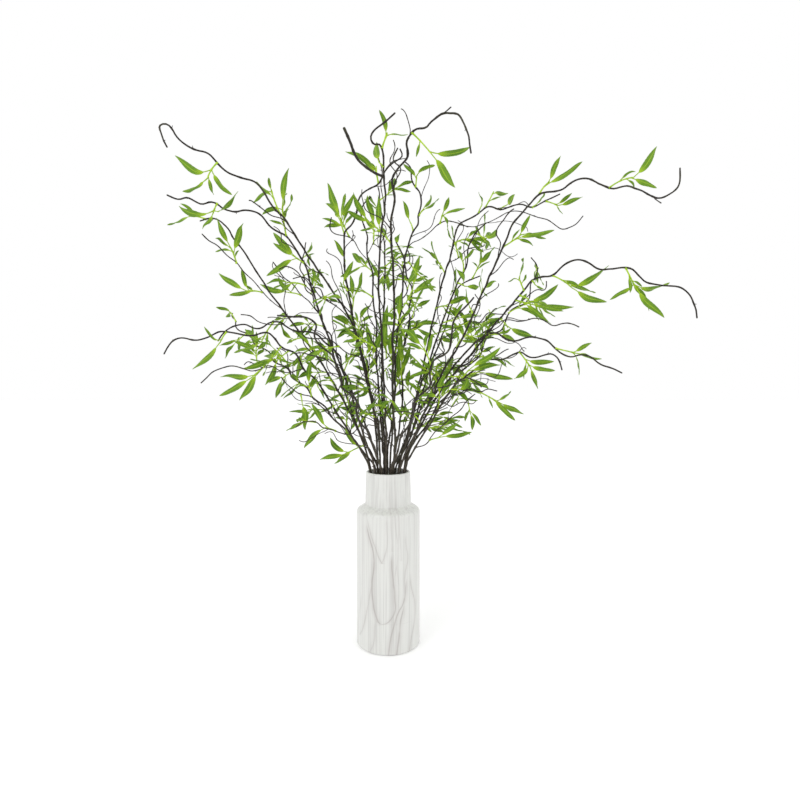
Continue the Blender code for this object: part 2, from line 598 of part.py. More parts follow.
    def sits_well(self, leaf, way, at_end, others):
        """Whether a leaf sets off ahead along its twig, and on another side than those beside it."""
        foot = leaf.foot_way()
        least, most = END_LEAN if at_end else PAIR_LEAN
        if not least < foot @ way < most:
            return False
        aside = unit(foot - way * (foot @ way))
        return all(aside @ unit(other - way * (other @ way)) < CLOSEST_PAIR
                   for other in (leaf.foot_way() for leaf in others))

    def leaf_facing(self, heading, way, normal, roll_range):
        """Which way a leaf faces: as its twig's normal, but rolled towards the twig."""
        outward = unit(np.cross(normal, way))
        outward *= math.copysign(1.0, heading @ outward)
        roll = self.rng.uniform(*roll_range)
        facing = unit(normal + roll * outward + self.rng.uniform(*LEAF_PITCH) * way)
        return unit(facing - heading * (facing @ heading))

    def leaf_to(self, start, way, normal, pixel, roll_range):
        """A blade that curves away from its twig until its tip is seen at a pixel of the picture."""
        least = self.rng.uniform(*LEAF_LENGTH)
        flat = np.linalg.norm(seen_at(pixel, -start[1]) - start)
        slant = math.sqrt(max(0.0, least ** 2 - flat ** 2)) * self.rng.uniform(-1, 1)
        forward = slant + self.rng.uniform(-1, 1) * LEAF_SLANT * flat
        chord = seen_at(pixel, forward - start[1]) - start
        length = min(np.linalg.norm(chord), LONGEST_LEAF)
        towards = unit(chord)
        turned = self.rng.uniform(*LEAF_BEND) + max(0.0, PAIR_LEAN[0] - towards @ way)
        heading = unit(towards + turned * way)
        shares = np.linspace(0, 1, 13)[:, None]
        bend = start + heading * length / 2
        tip = start + towards * length
        line = even((1 - shares) ** 2 * start + 2 * shares * (1 - shares) * bend + shares ** 2 * tip)
        facing = self.leaf_facing(heading, way, normal, roll_range)
        width = min(length, LEAF_LENGTH[1]) * LEAF_SLENDERNESS * self.rng.uniform(0.88, 1.1)
        return Leaf(line, unit(np.cross(facing, heading)), width)

    def grow_leaves(self, twig, leaves, tips=()):
        """A leaf at a twig's end, and pairs behind it. They reach for the tips that the picture shows,
        or else one of each pair goes to the left and one to the right."""
        side = self.rng.choice((-1, 1))
        rows = [[] for _ in range(leaves + 1)]
        for k in range(leaves):
            at_end = k == 0
            roll_range = END_LEAF_ROLL if at_end else LEAF_ROLL
            for attempt in range(SEEN_LEAF_TRIES if tips else LEAF_TRIES):
                further_back = attempt % 2 if tips and not at_end else 0
                row = (k + 1) // 2 + further_back
                along = twig.length if at_end else twig.length - LAST_PAIR - (row - 1) * PAIR_SPACING
                if along < SHORTEST_TWIG or len(rows[row]) == 2:
                    continue
                start, way = twig.at(along)
                if at_end:
                    start = twig.line[-1]
                if tips:
                    leaf = self.leaf_to(start, way, twig.normal, tips[k], roll_range)
                else:
                    outward = side * unit(np.cross(twig.normal, way))
                    spread = math.radians(END_LEAF_ANGLE if at_end else self.rng.uniform(*LEAF_ANGLE))
                    lift = self.rng.uniform(*LEAF_LIFT)
                    heading = unit(way * math.cos(spread) + outward * math.sin(spread) + lift * twig.normal)
                    facing = self.leaf_facing(heading, way, twig.normal, roll_range)
                    size = self.rng.uniform(*LEAF_LENGTH) * (1 - LEAF_SHRINK * k)
                    leaf = self.leaf(start, heading, facing, size)
                line, radii = leaf.line, leaf.radii()
                if (self.sits_well(leaf, way, at_end, rows[row])
                        and self.room.clear(line[1:], radii[1:], twig.number, ROOT_REACH["leaf"])):
                    self.room.take(line, radii, twig.number)
                    rows[row].append(leaf)
                    if at_end:
                        twig.end_leaf = leaf
                    else:
                        twig.children.append((along, leaf))
                    break
            side = -side

    def grow_sprig(self, parent, along, way, normal, length, leaves, tips=()):
        """A green twig with its leaves, which face `normal`, if there is room for it."""
        start, _ = parent.at(along)
        normal = unit(normal - way * (normal @ way))
        sag = self.rng.uniform(0.1, 0.5)
        bow = self.rng.uniform(-0.4, 0.4)
        drift = sag * DOWN + bow * np.cross(normal, way)
        points = [start]
        for k in range(round(length / GRAIN)):
            share = k * GRAIN / length
            points.append(points[-1] + unit(way + share * drift) * GRAIN)
        line = even(points)
        if not self.room.clear(line, np.full(len(line), TWIG_ROOM), parent.number, ROOT_REACH["sprig"]):
            return False
        twig = self.new_shoot("sprig", line, TWIG_RADIUS)
        twig.normal = normal
        parent.children.append((along, twig))
        self.grow_leaves(twig, leaves, tips)
        return True

    def grow_seen_sprigs(self):
        for name, foot, end, tips in SEEN_SPRIGS:
            shoot, found = self.nearest(self.stems[name], foot)
            pairs = len(tips) // 2
            least = SHORTEST_TWIG + PAIR_SPACING * pairs
            for attempt in range(SPRIG_TRIES):
                along = found + SLIDES[attempt % len(SLIDES)]
                if not shoot.spare(along):
                    continue
                start, stem_way = shoot.at(along)
                reach = seen_at(end, self.rng.uniform(*TWIG_FORWARD) - start[1]) - start
                length = max(least, np.linalg.norm(reach))
                way = unit(reach)
                along_stem = way @ stem_way
                if abs(along_stem) > STEEPEST_TWIG:
                    aside = unit(way - along_stem * stem_way)
                    way = unit(math.copysign(STEEPEST_TWIG, along_stem) * stem_way
                               + math.sqrt(1 - STEEPEST_TWIG ** 2) * aside)
                normal = np.array([self.rng.uniform(-0.5, 0.5), -1.0, self.rng.uniform(-0.3, 0.5)])
                if self.grow_sprig(shoot, along, way, normal, length, len(tips), tips):
                    break

    def grow_other_sprigs(self, wanted):
        """Sprigs in the gaps along every shoot by turns, until there are `wanted`. None is far in front,
        and the stems that the picture shows get them near the middle only."""
        shoots = [(s, MIDDLE_RADIUS if name in SEEN_NAMES else math.inf)
                  for name, stem in self.stems.items() for s in self.shoots_of(stem)]
        grown = 0
        for attempt in range(SPRIG_TRIES * wanted):
            if grown == wanted:
                break
            shoot, widest = shoots[attempt % len(shoots)]
            first = VASE_HEIGHT + SPRIGS_FROM if shoot.kind == "stem" else 0.25 * shoot.length
            along = self.rng.uniform(first, shoot.length - SPRIG_SPACING / 2)
            sprigs = [other for other, child in shoot.children if child.kind == "sprig"]
            if any(abs(along - other) < SPRIG_SPACING for other in sprigs) or not shoot.spare(along):
                continue
            start, stem_way = shoot.at(along)
            if start[1] < FRONT or math.hypot(start[0], start[1]) > widest:
                continue
            outward = unit(np.array([start[0], start[1], 0.12]))
            aside = np.array([self.rng.gauss(0, 1) for _ in range(3)]) + 0.5 * outward
            aside = unit(aside - stem_way * (aside @ stem_way))
            way = unit(0.75 * stem_way + aside)
            normal = outward + np.array([self.rng.uniform(-0.6, 0.6) for _ in range(3)])
            leaves = self.rng.randint(*LEAVES_PER_SPRIG)
            if self.grow_sprig(shoot, along, way, normal, TWIG_FOOT + PAIR_SPACING * (leaves // 2), leaves):
                grown += 1

    def grow(self):
        self.grow_stems()
        self.grow_seen_branches()
        self.grow_seen_sprigs()
        self.grow_other_branches()
        self.grow_other_sprigs(SPRIGS_ADDED)
        return self.stems


def straightened(line, tolerance):
    """The indices of the fewest points that keep a line's shape within a tolerance."""
    keep = {0, len(line) - 1}
    stretches = [(0, len(line) - 1)]
    while stretches:
        a, b = stretches.pop()
        if b - a < 2:
            continue
        chord = unit(line[b] - line[a])
        off = line[a + 1:b] - line[a]
        away = np.linalg.norm(off - np.outer(off @ chord, chord), axis=1)
        k = int(away.argmax())
        if away[k] > tolerance:
            keep.add(a + 1 + k)
            stretches += [(a, a + 1 + k), (a + 1 + k, b)]
    return sorted(keep)


def carried_frames(line, towards):
    """Two directions across the line at each point. The first one starts near `towards`, and both turn
    as little as possible from there."""
    ways = np.gradient(line, axis=0)
    ways /= np.linalg.norm(ways, axis=1)[:, None]
    first = towards
    frames = []
    for way in ways:
        first = unit(first - way * (first @ way))
        frames.append((first, np.cross(way, first)))
    return frames


def stitched_pairs(n, m, bias):
    """Which corners of two rings of n and m corners an even row of triangles between them joins."""
    i = j = 0
    pairs = [(0, 0)]
    while i < n or j < m:
        if (i + 0.5 + bias) * m <= (j + 0.5) * n:
            i += 1
        else:
            j += 1
        pairs.append((i, j))
    return pairs


def corner_directions(ring):
    """Where each corner of a ring lies, seen from the ring's middle."""
    places = np.array([corner.co for corner in ring])
    return [unit(away) for away in places - places.mean(axis=0)]


class Skin:
    """One stem's closed surface, in four-cornered faces split into triangles."""

    def __init__(self):
        self.mesh = bmesh.new()

    def ring(self, centre, offsets):
        return [self.mesh.verts.new(centre + offset) for offset in offsets]

    def face(self, *corners, colour):
        made = self.mesh.faces.new(corners)
        made.material_index = colour
        made.smooth = colour == 0

    def stitch(self, low, high, colour):
        """Triangles between two rings whose corners may differ in number, by turns from each. The turn
        and the bias are those whose edges join the corners that lie most nearly the same way."""
        low_ways, high_ways = corner_directions(low), corner_directions(high)
        n, m = len(low), len(high)
        best = None
        for bias in STITCH_BIASES:
            pairs = stitched_pairs(n, m, bias)
            for turn in range(m):
                likeness = sum(low_ways[i % n] @ high_ways[(j + turn) % m] for i, j in pairs)
                if best is None or likeness > best[0]:
                    best = (likeness, turn, pairs)
        _, turn, pairs = best
        for (i, j), (next_i, _) in zip(pairs, pairs[1:]):
            near, far = low[i % n], high[(j + turn) % m]
            ahead = low[next_i % n] if next_i > i else high[(j + 1 + turn) % m]
            self.face(near, ahead, far, colour=colour)

    def cap(self, ring, colour):
        for k in range(1, len(ring) - 1):
            self.face(ring[0], ring[k], ring[k + 1], colour=colour)

    def blade(self, leaf, root):
        """A leaf with a raised middle on both faces, drawn out of the ring `root`."""
        lower = root
        for number, (share, fullness) in enumerate(LEAF_RINGS):
            k = round(share * (len(leaf.line) - 1))
            way = unit(leaf.line[k + 1] - leaf.line[k - 1])
            side = unit(leaf.side - way * (leaf.side @ way)) * leaf.width / 2 * fullness
            thick = np.cross(way, unit(side)) * LEAF_THICKNESS / 2
            ring = self.ring(leaf.line[k], (side, thick, -side, -thick))
            if number == 0:
                self.stitch(lower, ring, 1)
            else:
                for c in range(4):
                    d = (c + 1) % 4
                    edge_first = c % 2 == 0
                    if edge_first:
                        self.face(lower[c], lower[d], ring[d], colour=1)
                        self.face(lower[c], ring[d], ring[c], colour=1)
                    else:
                        self.face(lower[c], lower[d], ring[c], colour=1)
                        self.face(lower[d], ring[d], ring[c], colour=1)
            lower = ring
        tip = self.mesh.verts.new(leaf.line[-1])
        for c in range(4):
            self.face(lower[c], lower[(c + 1) % 4], tip, colour=1)

    def side_towards(self, child, ring, taken):
        """The side of a ring that faces where a child sets off to, of those that are not taken."""
        sides = len(ring)
        centre = sum((corner.co for corner in ring), ring[0].co * 0) / sides
        ahead = child.line[2 * FIRST_RING] - np.array(centre)

        def facing(c):
            middle = (ring[c].co + ring[(c + 1) % sides].co) / 2 - centre
            return unit(np.array(middle)) @ ahead
        return max((c for c in range(sides) if c not in taken), key=facing)

    def tube(self, shoot, root=None):
        """A shoot and all that grows from it, drawn out of the ring `root` or capped at its foot."""
        colour = int(shoot.kind == "sprig")
        sides = SIDES[shoot.kind]
        frames = carried_frames(shoot.line, shoot.normal)
        last = len(shoot.line) - 1
        roots = {}
        for along, child in shoot.children:
            half = ROOT_LENGTH[child.kind] / 2
            low, high = (along - half) / GRAIN, (along + half) / GRAIN
            roots.setdefault(low, (high, []))[1].append(child)
        plain = straightened(shoot.line, STRAIGHTEN[shoot.kind])
        clear = ROOT_CLEARANCE / GRAIN
        first = FIRST_RING if root else 0
        stations = [float(k) for k in plain if k >= first and k <= last
                    and all(k < low - clear or k > high + clear for low, (high, _) in roots.items())]
        if not root and 0.0 not in stations:
            stations.append(0.0)
        if float(last) not in stations:
            stations.append(float(last))
        if root and len(stations) < 2:
            stations.append(last / 2)
        stations = sorted(set(stations) | set(roots) | {high for high, _ in roots.values()})
        rings = []
        for station in stations:
            k = min(int(station), last - 1)
            part = station - k
            centre = shoot.line[k] * (1 - part) + shoot.line[k + 1] * part
            first_way, second_way = frames[k]
            radius = shoot.radius(station * GRAIN)
            offsets = [radius * (math.cos(a) * first_way + math.sin(a) * second_way)
                       for a in (2 * math.pi * c / sides for c in range(sides))]
            rings.append(self.ring(centre, offsets))
        if root:
            self.stitch(root, rings[0], colour)
        else:
            self.cap(rings[0][::-1], colour)
        for n, (low, high) in enumerate(zip(rings, rings[1:])):
            openings = {}
            for child in roots.get(stations[n], (None, ()))[1]:
                openings[self.side_towards(child, low, openings)] = child
            for c in range(sides):
                d = (c + 1) % sides
                corners = [low[c], low[d], high[d], high[c]]
                if c not in openings:
                    self.face(corners[0], corners[1], corners[2], colour=colour)
                    self.face(corners[0], corners[2], corners[3], colour=colour)
                elif openings[c].kind == "leaf":
                    self.blade(openings[c], corners)
                else:
                    self.tube(openings[c], corners)
        if shoot.end_leaf is not None:
            self.blade(shoot.end_leaf, rings[-1])
        else:
            self.cap(rings[-1], colour)


def clear_scene():
    for obj in list(bpy.data.objects):
        bpy.data.objects.remove(obj, do_unlink=True)


def finish(name, colour, roughness):
    material = bpy.data.materials.new(name)
    material.use_nodes = True
    shader = material.node_tree.nodes["Principled BSDF"]
    shader.inputs["Base Color"].default_value = (*colour, 1.0)
    shader.inputs["Roughness"].default_value = roughness
    material.diffuse_color = (*colour, 1.0)
    return material


def arc(centre, radius, start, end, steps):
    """Points (r, z) on an arc from one angle to another, in degrees."""
    angles = [math.radians(start + (end - start) * k / steps) for k in range(steps + 1)]
    return [(centre[0] + radius * math.cos(a), centre[1] + radius * math.sin(a)) for a in angles]


def vase_profile():
    """The section of the wall, up the inside from the floor's middle and down the outside."""
    shoulder_top = VASE_HEIGHT - NECK_LENGTH
    shoulder_foot = shoulder_top - SHOULDER_DROP
    lip = WALL / 2
    inner = VASE_RADIUS - WALL
    inside = [(0.0, FLOOR), *arc((inner - BASE_ROUND, FLOOR + BASE_ROUND), BASE_ROUND, -90, 0, 2),
              (inner, shoulder_foot - 0.002),
              (NECK_FOOT_RADIUS - WALL, shoulder_top - 0.002)]
    over_lip = arc((LIP_RADIUS - lip, VASE_HEIGHT - lip), lip, 180, 0, 4)
    shoulder = [(NECK_FOOT_RADIUS, shoulder_top),
                *arc((VASE_RADIUS - SHOULDER_ROUND, shoulder_foot - 0.003), SHOULDER_ROUND, 50, 0, 2)]
    base = arc((VASE_RADIUS - BASE_ROUND, BASE_ROUND), BASE_ROUND, 0, -90, 3)
    return [*inside, *over_lip, *shoulder, *base, (0.0, 0.0)]


def turned(name, profile, sides):
    """A solid of revolution round Z from a profile of (r, z) points."""
    mesh = bpy.data.meshes.new(name)
    edges = [(k, k + 1) for k in range(len(profile) - 1)]
    mesh.from_pydata([(r, 0.0, z) for r, z in profile], edges, [])
    obj = bpy.data.objects.new(name, mesh)
    screw = obj.modifiers.new("Turn", "SCREW")
    screw.steps = screw.render_steps = sides
    screw.use_merge_vertices = True
    screw.merge_threshold = 0.0001
    screw.use_smooth_shade = True
    return obj


def stem_object(name, stem, materials):
    skin = Skin()
    skin.tube(stem)
    mesh = bpy.data.meshes.new(name)
    skin.mesh.to_mesh(mesh)
    skin.mesh.free()
    for material in materials:
        mesh.materials.append(material)
    return bpy.data.objects.new(name, mesh)


def main():
    clear_scene()
    group = bpy.data.collections.new("willow_in_vase")
    bpy.context.scene.collection.children.link(group)

    vase = turned("vase", vase_profile(), VASE_SIDES)
    vase.data.materials.append(finish("glazed ceramic", (0.80, 0.81, 0.79), 0.35))
    group.objects.link(vase)

    materials = (finish("bark", (0.045, 0.035, 0.028), 0.75), finish("leaf", (0.20, 0.40, 0.05), 0.55))
    stems = Willow().grow()
    for number, stem in enumerate(stems.values(), 1):
        group.objects.link(stem_object(f"willow_stem_{number:02d}", stem, materials))


main()
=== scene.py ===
"""Curly willow stems in a tall ceramic vase, dressed for its photograph.

The stems grow by the same rule, from the same seed, as the solids that they stand for.
"""

import json
import math
import random

import bpy
import numpy as np
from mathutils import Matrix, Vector

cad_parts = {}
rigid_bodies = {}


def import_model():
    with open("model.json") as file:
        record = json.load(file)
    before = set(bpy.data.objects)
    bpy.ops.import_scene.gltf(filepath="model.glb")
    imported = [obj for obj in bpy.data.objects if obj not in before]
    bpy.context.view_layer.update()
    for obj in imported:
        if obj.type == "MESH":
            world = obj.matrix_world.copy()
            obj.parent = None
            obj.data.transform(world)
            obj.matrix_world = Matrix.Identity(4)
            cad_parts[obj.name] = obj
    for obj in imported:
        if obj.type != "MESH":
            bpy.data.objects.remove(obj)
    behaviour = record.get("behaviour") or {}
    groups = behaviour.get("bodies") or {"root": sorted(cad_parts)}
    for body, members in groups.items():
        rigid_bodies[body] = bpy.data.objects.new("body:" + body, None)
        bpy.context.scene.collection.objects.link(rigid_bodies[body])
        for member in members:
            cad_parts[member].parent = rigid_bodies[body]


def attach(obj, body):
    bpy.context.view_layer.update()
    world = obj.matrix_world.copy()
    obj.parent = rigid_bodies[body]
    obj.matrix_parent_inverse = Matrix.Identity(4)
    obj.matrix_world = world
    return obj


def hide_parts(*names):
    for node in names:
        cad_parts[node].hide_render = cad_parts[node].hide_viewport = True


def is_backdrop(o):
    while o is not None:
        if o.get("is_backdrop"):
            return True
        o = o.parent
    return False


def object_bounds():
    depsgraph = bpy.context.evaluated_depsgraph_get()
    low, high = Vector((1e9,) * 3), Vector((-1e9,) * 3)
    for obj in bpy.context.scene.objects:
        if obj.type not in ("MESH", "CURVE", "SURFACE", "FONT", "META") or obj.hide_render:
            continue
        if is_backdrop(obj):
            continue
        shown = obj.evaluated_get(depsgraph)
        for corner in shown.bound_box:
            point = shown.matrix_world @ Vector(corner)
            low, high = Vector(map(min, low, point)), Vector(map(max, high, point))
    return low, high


INCH = 0.0254
SEED = 35

# The vase
VASE_HEIGHT = 15 * INCH
VASE_RADIUS = 5.5 * INCH / 2
LIP_RADIUS = 0.0485
NECK_FOOT_RADIUS = 0.0505
NECK_LENGTH = 0.070
SHOULDER_DROP = 0.017
SHOULDER_ROUND = 0.012
WALL = 0.0046
FLOOR = 0.009
BASE_ROUND = 0.004
VASE_SIDES = 36

# Where the stems stand: rings in the mouth, and how far the feet are turned from them
MOUTH_RINGS = ((14, 0.0352), (9, 0.0222), (4, 0.0085))
MOUTH_RISE = 0.006
FOOT_TURN = math.radians(20)
FOOT_GAP = 0.0003

# The viewpoint that the routes below were read from, in a picture 800 pixels wide
VIEW_ACROSS = 0.026
VIEW_BACK = 1.20
VIEW_HEIGHT = 0.59
VIEW_PITCH = math.radians(2.5)
VIEW_FOCAL_PX = 548
PICTURE_MIDDLE_PX = 400

# Growth: steps along a centre line, radii at a shoot's two ends, and ranges that are drawn from
GRAIN = 0.0025
STEM_RADIUS = (0.0028, 0.0011)
BRANCH_TIP_RADIUS = 0.0009
BRANCH_SHARE = 0.65
TWIG_RADIUS = (0.0010, 0.0008)
FORWARD_SHIFTS = (0.0, 0.02, -0.02, 0.04, -0.04, 0.07, -0.07, 0.10, -0.10)
FORWARD_BENDS = (1.0, 1.4, 0.7)
SLIDES = (0, 0.009, -0.009, 0.014, -0.014)
BRANCH_TRIES, SPRIG_TRIES, LEAF_TRIES, SEEN_LEAF_TRIES = 12, 30, 14, 60
THICK_STEM, THICKER = "top_hook", 1.15
STEM_SWAYS = (0.52, 0.44, 0.60, 0.36, 0.50, 0.40, 0.30, 0.25)
STEM_SPREAD, STEM_SAG = 0.55, 0.10
WAVE_LENGTH = (0.065, 0.115)
HOOKED_SHARE, HOOK = 0.18, 1.6
BRANCHES_PER_STEM = 2
BRANCH_LENGTH = (0.10, 0.21)
BRANCH_ANGLE = (33, 50)
BRANCH_SPREAD, BRANCH_SWAY = 0.35, 0.62
BRANCHES_FROM, BRANCHES_TO = 0.16, 0.78
SPRIGS_ADDED = 33
SPRIGS_FROM = 0.05
SPRIG_SPACING = 0.05
MIDDLE_RADIUS, FRONT = 0.22, -0.22
LEAVES_PER_SPRIG = (3, 5)
TWIG_FOOT, PAIR_SPACING, LAST_PAIR = 0.017, 0.012, 0.0060
LEAF_LENGTH = (0.046, 0.062)
LEAF_SHRINK = 0.07
LEAF_SLENDERNESS = 0.205
LEAF_THICKNESS = 0.0013
LEAF_FOOT = 0.16
LEAF_RINGS = ((0.34, 0.92), (0.70, 0.84))
LEAF_DROOP, LEAF_CURL = (0.25, 0.85), 0.35
LEAF_ANGLE, END_LEAF_ANGLE = (30, 50), 8.6
LEAF_LIFT, LEAF_PITCH = (-0.1, 0.35), (-0.3, 0.15)
LEAF_ROLL, END_LEAF_ROLL = (-0.85, -0.15), (-0.35, 0.35)
LEAF_SLANT, LEAF_BEND, LONGEST_LEAF = 0.45, (0.1, 0.8), 0.078
PAIR_LEAN, END_LEAN, CLOSEST_PAIR = (0.3, 0.9), (0.72, 1.1), 0.4
SHORTEST_TWIG, TWIG_FORWARD, STEEPEST_TWIG = 0.010, (-0.012, 0.020), 0.88
CHILD_SPACING = 0.009
ROOM_GAP = 0.0008
TWIG_ROOM = 0.003
ROOT_REACH = {"branch": 0.012, "sprig": 0.012, "leaf": 0.0055}
NEIGHBOURHOOD = 0.012
LEFTMOST, RIGHTMOST, HIGHEST = -0.414, 0.556, 1.014
FURTHEST_BACK, FURTHEST_FRONT = 0.41, -0.40
DOWN = np.array([0.0, 0.0, -1.0])
ODD_DIRECTION = np.array([0.31, 0.17, 0.93])

# What the scene adds to the solids
SPRIGS_IN_SCENE_ONLY = 95
YOUNG_LEAF, YOUNG_LEAF_WIDTH = (0.40, 0.75), 0.8
YOUNG_LEAF_SHARE, YOUNG_LEAVES_FROM = 0.45, 0.7
BARE_TWIG_SPACING, BARE_TWIG_LIMIT, BARE_TWIGS_FROM = 0.070, 0.26, 0.035
BARE_TWIG_LENGTH, BARE_TWIG_TRIES = (0.030, 0.120), 4
BARE_RADIUS = (0.0012, 0.0006)
FINE_SIDES = {"stem": 12, "branch": 10, "bare": 7}
FINE_STEP = {"stem": 2, "branch": 1, "bare": 1}
KNOT_SPACING = 0.038
KNOT_SWELLING, KNOT_REACH = 0.22, 0.0032
COLLAR = 0.5
SPUR_SHARE = 0.35
SPUR_LENGTH = (0.0015, 0.0040)
LEAF_STATIONS = 22
LEAF_COLUMNS = (-1.0, -0.5, 0.0, 0.5, 1.0)
LEAF_SKEW, LEAF_POINT = 0.80, 0.72
LEAF_TWIST, LEAF_FOLD = 38, (0.05, 0.45)
LEAF_WAVES, LEAF_WAVE = 6.5, (0.0004, 0.0022)
TOOTH = 0.03
BLADE_THICKNESS = 0.0004
STALK_RADIUS, STALK_SHARE = 0.00085, 0.18
LEAF_SICKLE, TIP_TURN = 0.045, 95
TWIG_FULLNESS = 1.5
KINK_SPACING, KINK = 0.016, 0.0007
TIP_FULLNESS, EVEN_SHARE = 0.34, 0.35
THICK_BRANCH_PIXEL, THICK_BRANCH_RADII = (353, 151), (0.0022, 0.0017)
SCENE_FRONT, SCENE_SPRIGS_FROM = -0.06, 0.095
UNDERSIDE = 0.3
BARK, SPRIG, LEAF = 0, 1, 2
PIECE_MAP, TONE = "along_piece", "tone"

# The vase's glaze and its printed grain. Each grain line has its pixels, from the top down, its half width
# in metres and its strength. GRAIN_MAP is the width round the vase that the lines' curves span.
WHITE_GLAZE, GREY_LINE, DARK_GRAIN = (0.690, 0.694, 0.668), (0.560, 0.556, 0.538), (0.400, 0.365, 0.355)
GRAIN_MAP = 0.2
GRAIN_LINES = (
    (((366, 520), (368, 532), (373, 551), (374, 568), (372, 585), (373, 601), (375, 613), (377, 619), (379, 623), (382.5, 624.6)),
     0.0034, 0.85),
    (((392, 551), (392, 568), (394, 585), (395, 599), (395, 611), (392, 618), (388, 622.6), (382.5, 624.6)),
     0.0032, 0.75),
    (((366, 513), (370, 532), (375, 547), (379, 558), (382, 563)), 0.0028, 0.60),
    (((386, 510), (387, 532), (387, 544), (385, 556), (382, 563)), 0.0026, 0.45),
    (((407, 575), (406, 585), (404, 601), (398, 614), (393, 630), (390, 645), (388, 658)), 0.0034, 0.75),
    (((405, 600), (404, 606), (400, 626), (399, 640), (396, 659)), 0.0034, 0.75),
    (((410, 570), (411, 585), (415, 606), (414, 623), (411, 640), (409, 654)), 0.0026, 0.60),
    (((372, 575), (371, 589), (367, 609), (364, 625), (360, 634)), 0.0030, 0.50),
    (((376, 615), (375, 625), (374, 642), (369, 652)), 0.0030, 0.45),
    (((406, 530), (406, 545), (408, 558), (405, 575), (405, 600)), 0.0028, 0.40),
    (((398, 505), (399, 530), (397, 560), (399, 590), (397, 625)), 0.0024, 0.30),
    (((393, 505), (396, 530), (398, 552), (393, 585)), 0.0024, 0.35),
    (((390, 470), (390, 490), (391, 515), (392, 551)), 0.0026, 0.35),
    (((398, 470), (398, 490), (399, 515), (401, 560)), 0.0028, 0.35),
    (((361, 590), (361, 601), (359, 614), (358, 640)), 0.0026, 0.35),
)
NECK_CREASE = 0.004

# The photograph's camera and the studio: each light's place, size and power
SENSOR_WIDTH = 36.0
FLOOR_GLOW = 0.12
LIGHTS = (
    ("key", (-1.6, -2.0, 2.6), 1.6, 17.0),
    ("fill", (2.2, -1.6, 1.4), 2.0, 5.0),
)

